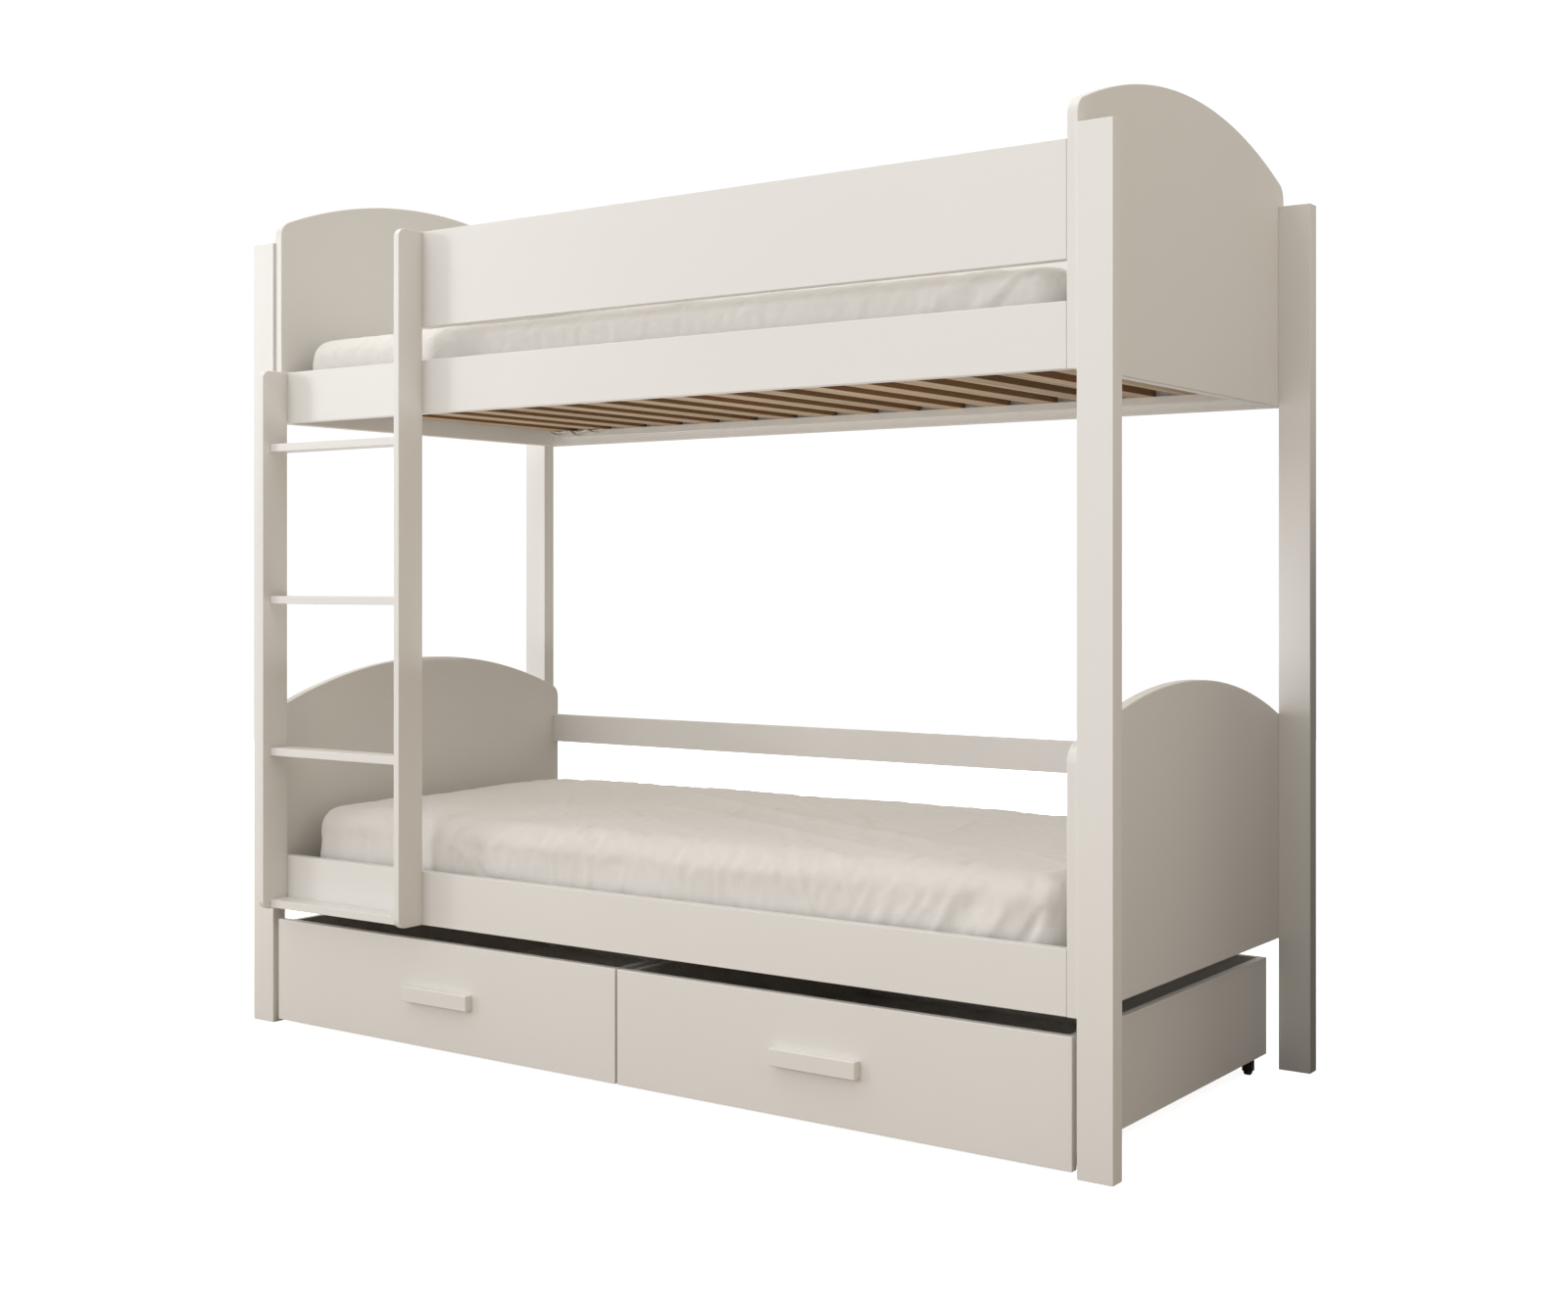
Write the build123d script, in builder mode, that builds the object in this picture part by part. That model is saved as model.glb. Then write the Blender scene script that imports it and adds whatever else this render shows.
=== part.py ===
"""Bunk bed with a ladder and two roll-out drawers, in painted boards (millimetres).

X runs along the bed, +Y from the ladder side to the rear, and Z up from the floor.
The origin is on the floor, under the middle of the whole bed with its ladder.
"""
import os
from math import sqrt

from build123d import *

# ---- Driving dimensions --------------------------------------------------------------------
BED_LENGTH = 2190.0
FRAME_DEPTH = 960.0
POST_WIDTH = 68.0
POST_DEPTH = 36.0
POST_HEIGHT = 1800.0
BOARD = 22.0                # thickness of the end panels, rails and guards
SETBACK = 6.0               # boards stand this far behind the faces of the posts

BUNK_BASES = {"lower": 273.0, "upper": 1382.0}   # bottom of each bunk's panels and rails
PANEL_RISE = 557.0          # top of the arch above the panel's bottom
PANEL_ARCH_RADIUS = 1180.0
PANEL_CORNER = 35.0
RAIL_HEIGHT = 116.0
BACK_RAIL = (589.0, 661.0)  # bottom and top
GUARD = (1569.0, 1776.0)

STRINGER_THICKNESS = 16.0
STRINGER_DEPTH = 70.0
STRINGER_CORNER = 20.0
STRINGERS = {"left": -1001.0, "right": -563.0}    # left face of each upright of the ladder
RUNG_COUNT = 4
RUNG_THICKNESS = 18.0
RUNG_DEPTH = 50.0
RUNG_PITCH = 345.6
FIRST_RUNG_BOTTOM = 276.0

LEDGER_RISE = 18.0          # ledger's bottom above the rail's bottom
LEDGER_HEIGHT = 18.0
LEDGER_DEPTH = 22.0
LEDGER_LENGTH = 1920.0
SLAT_COUNT = 17
SLAT_PITCH = 118.8
SLAT_WIDTH = 58.0
SLAT_THICKNESS = 18.0
SLAT_END_GAP = 4.0
FIRST_SLAT_X = -943.0
TAPE_WIDTH = 16.0
TAPE_THICKNESS = 1.2
TAPE_INSET = 60.0           # middle of the tape from the slats' ends

MATTRESS_LENGTH = 1960.0
MATTRESS_WIDTH = 880.0
MATTRESS_THICKNESS = {"lower": 188.0, "upper": 154.0}
MATTRESS_CORNER = 75.0
MATTRESS_TOP_ROUND = 40.0
MATTRESS_BASE_ROUND = 15.0
MATTRESS_LIFT = 0.3

DRAWER_FRONT = (9.0, 240.0)
DRAWER_BOX = (33.0, 235.0)
DRAWER_FRONT_THICKNESS = 18.0
DRAWER_POST_GAP = 11.5      # between a post and the drawer's front
DRAWER_MIDDLE_GAP = 5.0
DRAWER_OVERHANG = 8.0       # the front reaches this far past the box on each side
DRAWER_BOX_DEPTH = 884.0
DRAWER_SIDE = 16.0
DRAWER_BOTTOM = 10.0
HANDLE_LENGTH = 195.0
HANDLE_BOTTOM = 105.0
HANDLE_HEIGHT = 34.0
HANDLE_DEPTH = 18.0
HANDLE_ROUND = 2.5
HANDLE_CENTRES = {"left": -498.0, "right": 486.0}
GROOVE_DEPTH = 8.0
GROOVE_HEIGHT = 20.0
GROOVE_END = 14.0

WHEEL_RADIUS = 14.0
WHEEL_WIDTH = 12.0
WHEEL_ROUND = 1.5
WHEEL_RUNNING_GAP = 0.05
CASTER_WIDTH = 20.0
CASTER_PLATE_LENGTH = 46.0
CASTER_PLATE = 2.0
CHEEK = 2.0
CHEEK_LENGTH = 18.0
CHEEK_FOOT = 9.0            # height of the cheeks' lower ends above the floor
CASTER_INSET = 15.5         # middle of a caster from the box's outer face
CASTER_REAR_INSET = 62.0
CASTER_FRONT_INSET = 52.0
CASTER_AXLE_RADIUS = 2.5
CASTER_AXLE_HEAD = 1.0

DOWEL_RADIUS = 4.0
DOWEL_LENGTH = 30.0
DOWEL_SHORT_END = 10.0      # the part of a dowel that stands in a board's face
PANEL_DOWEL_RISES = (150.0, 270.0, 390.0)
RUNG_DOWEL_SPREAD = 15.0
SIDE_DOWEL_RISES = (50.0, 101.0, 152.0)
BACK_DOWEL_RISES = (50.0, 152.0)
CAM_RADIUS = 7.4
CAM_DEPTH = 16.5
CAM_INSET = 24.0            # middle of a cam from the board's end
CAM_SLOT = (2.0, 9.0, 1.5)
CAM_SCREW_RADIUS = 3.4
CAM_PIN_RADIUS = 3.0
CAM_PIN_LENGTH = 29.0
CAM_PIN_CLEARANCE = 1.0
CAM_SCREW_IN_POST = 12.0
LEDGER_SCREW = {"shank": 2.0, "head": 4.0, "length": 36.0}
LADDER_SCREW = {"shank": 2.5, "head": 5.0, "length": 60.0}
LADDER_SCREW_RISES = (62.0, 98.0)   # above the bottom of a rail
LEDGER_SCREW_XS = (-900.0, -450.0, 0.0, 450.0, 900.0)
HANDLE_SCREW_RADIUS = 2.0
HANDLE_SCREW_HEAD = (4.5, 2.5)
HANDLE_SCREW_GRIP = 8.0
HANDLE_SCREW_SPREAD = 64.0
HOLE_CLEARANCE = 0.1
HOLE_END_CLEARANCE = 0.5
COUNTERSINK_ANGLE = 90.0

EDGE_ROUND = 1.5
PANEL_EDGE_ROUND = 2.5

# ---- Places worked out from them -----------------------------------------------------------
TOTAL_DEPTH = FRAME_DEPTH + STRINGER_DEPTH - SETBACK
FRONT_Y = -TOTAL_DEPTH / 2 + STRINGER_DEPTH - SETBACK      # front faces of the posts
REAR_Y = TOTAL_DEPTH / 2                                   # rear faces of the posts
MIDDLE_Y = (FRONT_Y + REAR_Y) / 2
FACE_Y = FRONT_Y + SETBACK                                 # front faces of rails and drawers
INNER_FRONT_Y = FACE_Y + BOARD
INNER_REAR_Y = REAR_Y - SETBACK - BOARD
POST_INNER_X = BED_LENGTH / 2 - POST_WIDTH
PANEL_INNER_X = POST_INNER_X - BOARD
PANEL_HALF_DEPTH = FRAME_DEPTH / 2 - SETBACK
RIGHT, INWARD, OUTWARD = (1, 0, 0), (0, 1, 0), (0, -1, 0)
SIDES = {"left": -1, "right": 1}
ROWS = {"front": FACE_Y, "rear": INNER_REAR_Y}             # front faces of the long boards

SLAT_XS = [FIRST_SLAT_X + index * SLAT_PITCH for index in range(SLAT_COUNT)]
RUNG_BOTTOMS = [FIRST_RUNG_BOTTOM + index * RUNG_PITCH for index in range(RUNG_COUNT)]
RUNG_ENDS = (STRINGERS["left"] + STRINGER_THICKNESS, STRINGERS["right"])
RUNG_MIDDLE_Y = FACE_Y - RUNG_DEPTH / 2

os.makedirs("parts", exist_ok=True)


# ---- Shared helpers ------------------------------------------------------------------------
def save(piece, label):
    """Name a finished piece and write it as its own STEP file."""
    piece.part.label = label
    export_step(piece.part, f"parts/{label}.step")


def facing(x, y, z, direction):
    """A plane at a point whose normal looks along a direction."""
    return Plane(origin=(x, y, z), z_dir=direction)


def toward(side):
    """The direction that looks out past the left (-1) or right (+1) end."""
    return (side, 0, 0)


def board(x_span, y_span, z_span, bores=(), countersinks=()):
    """A board with eased edges, plain bores and countersunk through holes."""
    middle_x = sum(x_span) / 2
    middle_y = sum(y_span) / 2
    with BuildPart() as piece:
        with BuildSketch(Plane((middle_x, middle_y, z_span[0]))):
            Rectangle(x_span[1] - x_span[0], y_span[1] - y_span[0])
        extrude(amount=z_span[1] - z_span[0])
        fillet(piece.edges(), radius=EDGE_ROUND)
        for place, radius, depth in bores:
            with Locations(place):
                Hole(radius + HOLE_CLEARANCE, depth + HOLE_END_CLEARANCE)
        for place, screw, depth in countersinks:
            with Locations(place):
                CounterSinkHole(
                    screw["shank"] + HOLE_CLEARANCE,
                    screw["head"] + HOLE_CLEARANCE,
                    depth,
                    COUNTERSINK_ANGLE,
                )
    return piece


def rods(places, radius, length):
    """Round rods, each running back from its plane, as one group."""
    with BuildPart() as group:
        with Locations(*places):
            Cylinder(radius, length, align=(Align.CENTER, Align.CENTER, Align.MAX))
    return group


def countersunk_screws(places, screw):
    """Countersunk screws whose heads lie flush with their planes, as one group."""
    top = (Align.CENTER, Align.CENTER, Align.MAX)
    with BuildPart() as group:
        with Locations(*places):
            Cylinder(screw["shank"], screw["length"], align=top)
            Cone(screw["shank"], screw["head"], screw["head"] - screw["shank"], align=top)
    return group


# ---- Where the fastenings go ---------------------------------------------------------------
def quarter_heights(bottom, top):
    """Two heights, a quarter of a board's width in from each edge."""
    return (bottom + (top - bottom) / 4, top - (top - bottom) / 4)


def cam_sites():
    """(side, row, height) of each cam joint between a long board and an end panel."""
    sites = []
    for base in BUNK_BASES.values():
        for height in quarter_heights(base, base + RAIL_HEIGHT):
            sites += [(side, row, height) for side in SIDES.values() for row in ROWS]
    for height in quarter_heights(*BACK_RAIL):
        sites += [(side, "rear", height) for side in SIDES.values()]
    for height in quarter_heights(*GUARD):
        sites += [(-1, "rear", height), (1, "rear", height), (1, "front", height)]
    return sites


CAM_SITES = cam_sites()
CAM_BORE = CAM_PIN_RADIUS + CAM_PIN_CLEARANCE
LADDER_SCREW_HEIGHTS = {
    "lower": [BUNK_BASES["lower"] + rise for rise in LADDER_SCREW_RISES],
    "upper": [BUNK_BASES["upper"] + rise for rise in LADDER_SCREW_RISES],
    "guard": list(quarter_heights(*GUARD)),
}


def dowel_heights(base):
    """Heights of the dowels between a post and the panel that starts at this base."""
    return [base + rise for rise in PANEL_DOWEL_RISES]


def post_joint_y(row):
    """Depth position of the dowels and cam screws behind a post."""
    return ROWS[row] + BOARD / 2


def inner_face(row):
    """(y, direction) of the face that a long board turns to the mattress."""
    return (INNER_FRONT_Y, INWARD) if row == "front" else (INNER_REAR_Y, OUTWARD)


def cam_face(row):
    """(y, direction) of the face that the cams are set in: the one turned to the back."""
    return (ROWS[row] + BOARD, INWARD)


# ---- Posts and end panels ------------------------------------------------------------------
def make_post(side_name, row):
    """A square-footed corner post, bored on its inner face for dowels and cam screws."""
    side = SIDES[side_name]
    x_span = sorted((side * POST_INNER_X, side * BED_LENGTH / 2))
    front = FRONT_Y if row == "front" else REAR_Y - POST_DEPTH
    joint_y = post_joint_y(row)
    bores = []
    for base in BUNK_BASES.values():
        for height in dowel_heights(base):
            place = facing(side * POST_INNER_X, joint_y, height, toward(-side))
            bores.append((place, DOWEL_RADIUS, DOWEL_LENGTH - DOWEL_SHORT_END))
    for site_side, site_row, height in CAM_SITES:
        if (site_side, site_row) == (side, row):
            place = facing(side * POST_INNER_X, joint_y, height, toward(-side))
            bores.append((place, CAM_SCREW_RADIUS, CAM_SCREW_IN_POST))
    post = board(x_span, (front, front + POST_DEPTH), (0, POST_HEIGHT), bores)
    save(post, f"post_{row}_{side_name}")


def make_end_panel(bunk, side_name):
    """An end panel with an arched top, joined to the posts outside it and the rails inside."""
    side = SIDES[side_name]
    base = BUNK_BASES[bunk]
    peak = base + PANEL_RISE
    shoulder = peak - PANEL_ARCH_RADIUS + sqrt(PANEL_ARCH_RADIUS**2 - PANEL_HALF_DEPTH**2)
    front, rear = MIDDLE_Y - PANEL_HALF_DEPTH, MIDDLE_Y + PANEL_HALF_DEPTH
    left_face = min(side * POST_INNER_X, side * PANEL_INNER_X)
    with BuildPart() as panel:
        with BuildSketch(Plane.YZ.offset(left_face)) as outline:
            with BuildLine():
                Polyline((rear, shoulder), (rear, base), (front, base), (front, shoulder))
                ThreePointArc((front, shoulder), (MIDDLE_Y, peak), (rear, shoulder))
            make_face()
            fillet(outline.vertices().group_by(Axis.Y)[-1], radius=PANEL_CORNER)
        extrude(amount=BOARD)
        fillet(panel.faces().filter_by(Axis.X).edges(), radius=PANEL_EDGE_ROUND)
        for row in ROWS:
            for height in dowel_heights(base):
                with Locations(facing(side * POST_INNER_X, post_joint_y(row), height, toward(side))):
                    Hole(DOWEL_RADIUS + HOLE_CLEARANCE, DOWEL_SHORT_END + HOLE_END_CLEARANCE)
        for site_side, row, height in CAM_SITES:
            if site_side == side and base < height < peak:
                with Locations(facing(side * POST_INNER_X, post_joint_y(row), height, toward(side))):
                    Hole(CAM_SCREW_RADIUS + HOLE_CLEARANCE, BOARD)
    save(panel, f"{bunk}_end_panel_{side_name}")


# ---- Rails, guards and ledgers -------------------------------------------------------------
def cam_bores(row, z_span):
    """End bores and cam bores for the joints of one long board."""
    face_y, direction = cam_face(row)
    bores = []
    for side, site_row, height in CAM_SITES:
        if site_row == row and z_span[0] < height < z_span[1]:
            end = facing(side * PANEL_INNER_X, post_joint_y(row), height, toward(side))
            cam = facing(side * (PANEL_INNER_X - CAM_INSET), face_y, height, direction)
            bores.append((end, CAM_BORE, CAM_PIN_LENGTH))
            bores.append((cam, CAM_RADIUS, CAM_DEPTH))
    return bores


def ladder_screw_places(level, uprights):
    """Heads of the screws that hold the ladder's uprights to one front board."""
    places = []
    for name in uprights:
        x = STRINGERS[name] + STRINGER_THICKNESS / 2
        places += [facing(x, INNER_FRONT_Y, z, INWARD) for z in LADDER_SCREW_HEIGHTS[level]]
    return places


def ledger_z_span(bunk):
    """Bottom and top of a bunk's ledgers."""
    bottom = BUNK_BASES[bunk] + LEDGER_RISE
    return (bottom, bottom + LEDGER_HEIGHT)


def make_rail(bunk, row):
    """A side rail between the end panels, with pilot holes for its ledger and the ladder."""
    z_span = (BUNK_BASES[bunk], BUNK_BASES[bunk] + RAIL_HEIGHT)
    face_y, direction = inner_face(row)
    middle_z = sum(ledger_z_span(bunk)) / 2
    pilot_depth = LEDGER_SCREW["length"] - LEDGER_DEPTH
    bores = cam_bores(row, z_span)
    for x in LEDGER_SCREW_XS:
        bores.append((facing(x, face_y, middle_z, direction), LEDGER_SCREW["shank"], pilot_depth))
    heads = ladder_screw_places(bunk, STRINGERS) if row == "front" else []
    countersinks = [(place, LADDER_SCREW, BOARD) for place in heads]
    x_span = (-PANEL_INNER_X, PANEL_INNER_X)
    rail = board(x_span, (ROWS[row], ROWS[row] + BOARD), z_span, bores, countersinks)
    save(rail, f"{bunk}_rail_{row}")


def make_ledger(bunk, row):
    """The strip on a rail's inner face that carries the slats' ends."""
    face_y, direction = inner_face(row)
    ledger_face_y = face_y + direction[1] * LEDGER_DEPTH
    middle_z = sum(ledger_z_span(bunk)) / 2
    countersinks = [
        (facing(x, ledger_face_y, middle_z, direction), LEDGER_SCREW, LEDGER_DEPTH)
        for x in LEDGER_SCREW_XS
    ]
    y_span = sorted((face_y, ledger_face_y))
    x_span = (-LEDGER_LENGTH / 2, LEDGER_LENGTH / 2)
    ledger = board(x_span, y_span, ledger_z_span(bunk), (), countersinks)
    save(ledger, f"{bunk}_ledger_{row}")


def make_guards_and_back_rail():
    """The upper bunk's two guard boards and the lower bunk's single back rail."""
    full = (-PANEL_INNER_X, PANEL_INNER_X)
    rear_span = (ROWS["rear"], ROWS["rear"] + BOARD)
    save(board(full, rear_span, GUARD, cam_bores("rear", GUARD)), "guard_board_rear")
    save(board(full, rear_span, BACK_RAIL, cam_bores("rear", BACK_RAIL)), "lower_back_rail")
    heads = [(place, LADDER_SCREW, BOARD) for place in ladder_screw_places("guard", ["right"])]
    guard = board(
        (STRINGERS["right"], PANEL_INNER_X),
        (ROWS["front"], ROWS["front"] + BOARD),
        GUARD,
        cam_bores("front", GUARD),
        heads,
    )
    save(guard, "guard_board_front")


# ---- Ladder --------------------------------------------------------------------------------
def rung_dowel_places(x, direction):
    """Ends of the dowels that stand in one upright, two for each rung."""
    places = []
    for bottom in RUNG_BOTTOMS:
        for offset in (-RUNG_DOWEL_SPREAD, RUNG_DOWEL_SPREAD):
            y = RUNG_MIDDLE_Y + offset
            places.append(facing(x, y, bottom + RUNG_THICKNESS / 2, direction))
    return places


def make_stringer(name, top, levels):
    """A ladder upright with its two front corners rounded, bored for rungs and screws."""
    left_face = STRINGERS[name]
    inward = 1 if name == "left" else -1
    rung_face = RUNG_ENDS[0] if name == "left" else RUNG_ENDS[1]
    bottom = BUNK_BASES["lower"]
    with BuildPart() as stringer:
        with BuildSketch(Plane.YZ.offset(left_face)) as outline:
            with BuildLine():
                front = FACE_Y - STRINGER_DEPTH
                Polyline((FACE_Y, bottom), (FACE_Y, top), (front, top), (front, bottom), close=True)
            make_face()
            fillet(outline.vertices().group_by(Axis.X)[0], radius=STRINGER_CORNER)
        extrude(amount=STRINGER_THICKNESS)
        fillet(stringer.faces().filter_by(Axis.X).edges(), radius=EDGE_ROUND)
        with Locations(*rung_dowel_places(rung_face, toward(inward))):
            Hole(DOWEL_RADIUS + HOLE_CLEARANCE, DOWEL_SHORT_END + HOLE_END_CLEARANCE)
        for level in levels:
            for head in ladder_screw_places(level, [name]):
                pilot = facing(head.origin.X, FACE_Y, head.origin.Z, INWARD)
                with Locations(pilot):
                    Hole(
                        LADDER_SCREW["shank"] + HOLE_CLEARANCE,
                        LADDER_SCREW["length"] - BOARD + HOLE_END_CLEARANCE,
                    )
    save(stringer, f"ladder_stringer_{name}")


def make_rungs():
    """The flat treads, each held by two dowels at each end."""
    depth = DOWEL_LENGTH - DOWEL_SHORT_END
    for index, bottom in enumerate(RUNG_BOTTOMS):
        bores = []
        for x, side in zip(RUNG_ENDS, SIDES.values()):
            pair = rung_dowel_places(x, toward(side))[2 * index:2 * index + 2]
            bores += [(place, DOWEL_RADIUS, depth) for place in pair]
        y_span = (FACE_Y - RUNG_DEPTH, FACE_Y)
        rung = board(RUNG_ENDS, y_span, (bottom, bottom + RUNG_THICKNESS), bores)
        save(rung, f"ladder_rung_{index + 1}")


# ---- Slats, tapes and mattresses -----------------------------------------------------------
def make_slats(bunk):
    """A row of loose slats resting on the two ledgers, as one group."""
    top = ledger_z_span(bunk)[1]
    length = INNER_REAR_Y - INNER_FRONT_Y - 2 * SLAT_END_GAP
    with BuildPart() as slats:
        with BuildSketch(Plane((0, MIDDLE_Y, top))):
            with Locations(*[(x, 0) for x in SLAT_XS]):
                Rectangle(SLAT_WIDTH, length)
        extrude(amount=SLAT_THICKNESS)
        fillet(slats.edges().filter_by(Axis.Y), radius=EDGE_ROUND)
    save(slats, f"{bunk}_slats")


def make_tapes(bunk):
    """The two woven tapes stapled along the tops of the slats, near their ends."""
    slat_top = ledger_z_span(bunk)[1] + SLAT_THICKNESS
    reach = SLAT_XS[-1] - SLAT_XS[0] + SLAT_WIDTH
    offset = (INNER_REAR_Y - INNER_FRONT_Y) / 2 - SLAT_END_GAP - TAPE_INSET
    with BuildPart() as tapes:
        with BuildSketch(Plane(((SLAT_XS[0] + SLAT_XS[-1]) / 2, MIDDLE_Y, slat_top))):
            with Locations((0, -offset), (0, offset)):
                Rectangle(reach, TAPE_WIDTH)
        extrude(amount=TAPE_THICKNESS)
    save(tapes, f"{bunk}_slat_tapes")


def make_mattress(bunk):
    """A foam mattress in its cover, as a plain rounded slab."""
    base = ledger_z_span(bunk)[1] + SLAT_THICKNESS + TAPE_THICKNESS + MATTRESS_LIFT
    with BuildPart() as mattress:
        with BuildSketch(Plane((0, MIDDLE_Y, base))):
            RectangleRounded(MATTRESS_LENGTH, MATTRESS_WIDTH, MATTRESS_CORNER)
        extrude(amount=MATTRESS_THICKNESS[bunk])
        flat_faces = mattress.faces().filter_by(Axis.Z).sort_by(Axis.Z)
        fillet(flat_faces[-1].edges(), radius=MATTRESS_TOP_ROUND)
        fillet(flat_faces[0].edges(), radius=MATTRESS_BASE_ROUND)
    save(mattress, f"{bunk}_mattress")


# ---- Frame fastenings ----------------------------------------------------------------------
def make_cam_fittings():
    """The steel cam screws in the panels and the cams that lock them in the boards."""
    top = (Align.CENTER, Align.CENTER, Align.MAX)
    thread_ends = []
    cam_faces = []
    for side, row, height in CAM_SITES:
        thread_x = side * (POST_INNER_X + CAM_SCREW_IN_POST)
        thread_ends.append(facing(thread_x, post_joint_y(row), height, toward(side)))
        face_y, direction = cam_face(row)
        cam_faces.append(facing(side * (PANEL_INNER_X - CAM_INSET), face_y, height, direction))
    thread_length = CAM_SCREW_IN_POST + BOARD
    with BuildPart() as screws:
        with Locations(*thread_ends):
            Cylinder(CAM_SCREW_RADIUS, thread_length, align=top)
            Cylinder(CAM_PIN_RADIUS, thread_length + CAM_PIN_LENGTH, align=top)
    save(screws, "cam_screws")
    slot_width, slot_length, slot_depth = CAM_SLOT
    with BuildPart() as cams:
        with Locations(*cam_faces):
            Cylinder(CAM_RADIUS, CAM_DEPTH, align=top)
            Box(slot_width, slot_length, slot_depth, align=top, mode=Mode.SUBTRACT)
            Box(slot_length, slot_width, slot_depth, align=top, mode=Mode.SUBTRACT)
        with Locations(*thread_ends):
            pin_length = thread_length + CAM_INSET + 2 * CAM_RADIUS
            Cylinder(CAM_BORE, pin_length, align=top, mode=Mode.SUBTRACT)
    save(cams, "cam_locks")


def make_frame_dowels():
    """The wooden dowels of the posts and of the rungs, all alike, as one group."""
    places = []
    for side in SIDES.values():
        x = side * (POST_INNER_X - DOWEL_SHORT_END)
        for base in BUNK_BASES.values():
            for height in dowel_heights(base):
                places += [facing(x, post_joint_y(row), height, toward(-side)) for row in ROWS]
    places += rung_dowel_places(RUNG_ENDS[0] - DOWEL_SHORT_END, toward(-1))
    places += rung_dowel_places(RUNG_ENDS[1] + DOWEL_SHORT_END, toward(1))
    save(rods(places, DOWEL_RADIUS, DOWEL_LENGTH), "frame_dowels")


def make_frame_screws():
    """The screws of the four ledgers and those of the ladder."""
    ledger_places = []
    for bunk in BUNK_BASES:
        middle_z = sum(ledger_z_span(bunk)) / 2
        for row in ROWS:
            face_y, direction = inner_face(row)
            y = face_y + direction[1] * LEDGER_DEPTH
            ledger_places += [facing(x, y, middle_z, direction) for x in LEDGER_SCREW_XS]
    save(countersunk_screws(ledger_places, LEDGER_SCREW), "ledger_screws")
    ladder_places = ladder_screw_places("guard", ["right"])
    for bunk in BUNK_BASES:
        ladder_places += ladder_screw_places(bunk, STRINGERS)
    save(countersunk_screws(ladder_places, LADDER_SCREW), "ladder_screws")


# ---- Drawers -------------------------------------------------------------------------------
BOX_FRONT_Y = FACE_Y + DRAWER_FRONT_THICKNESS
BOX_REAR_Y = BOX_FRONT_Y + DRAWER_BOX_DEPTH
BACK_FRONT_Y = BOX_REAR_Y - DRAWER_SIDE
DRAWER_OUTER_X = POST_INNER_X - DRAWER_POST_GAP
CASTER_YS = {"front": BOX_FRONT_Y + CASTER_FRONT_INSET, "rear": BOX_REAR_Y - CASTER_REAR_INSET}


def front_x_span(name):
    """Left and right ends of a drawer's front."""
    side = SIDES[name]
    return sorted((side * DRAWER_MIDDLE_GAP / 2, side * DRAWER_OUTER_X))


def box_x_span(name):
    """Outer faces of a drawer's box."""
    left, right = front_x_span(name)
    return (left + DRAWER_OVERHANG, right - DRAWER_OVERHANG)


def caster_xs(name):
    """Middles of the left and right casters."""
    left, right = box_x_span(name)
    return (left + CASTER_INSET, right - CASTER_INSET)


def side_dowel_places(name, y):
    """Rear or front ends of the dowels between the front and the two side boards."""
    left, right = box_x_span(name)
    middles = (left + DRAWER_SIDE / 2, right - DRAWER_SIDE / 2)
    heights = [DRAWER_BOX[0] + rise for rise in SIDE_DOWEL_RISES]
    return [facing(x, y, z, OUTWARD) for x in middles for z in heights]


def back_dowel_places(name, inset, flip):
    """Planes across the joints between the back board and the two side boards."""
    left, right = box_x_span(name)
    y = BOX_REAR_Y - DRAWER_SIDE / 2
    heights = [DRAWER_BOX[0] + rise for rise in BACK_DOWEL_RISES]
    left_planes = [facing(left + inset, y, z, toward(-flip)) for z in heights]
    right_planes = [facing(right - inset, y, z, toward(flip)) for z in heights]
    return left_planes, right_planes


def handle_screw_places(name, y):
    """Planes of the two handle screws, looking into the drawer."""
    z = HANDLE_BOTTOM + HANDLE_HEIGHT - (HANDLE_HEIGHT - GROOVE_HEIGHT) / 2
    middle = HANDLE_CENTRES[name]
    return [facing(middle + dx, y, z, INWARD) for dx in (-HANDLE_SCREW_SPREAD, HANDLE_SCREW_SPREAD)]


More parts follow.
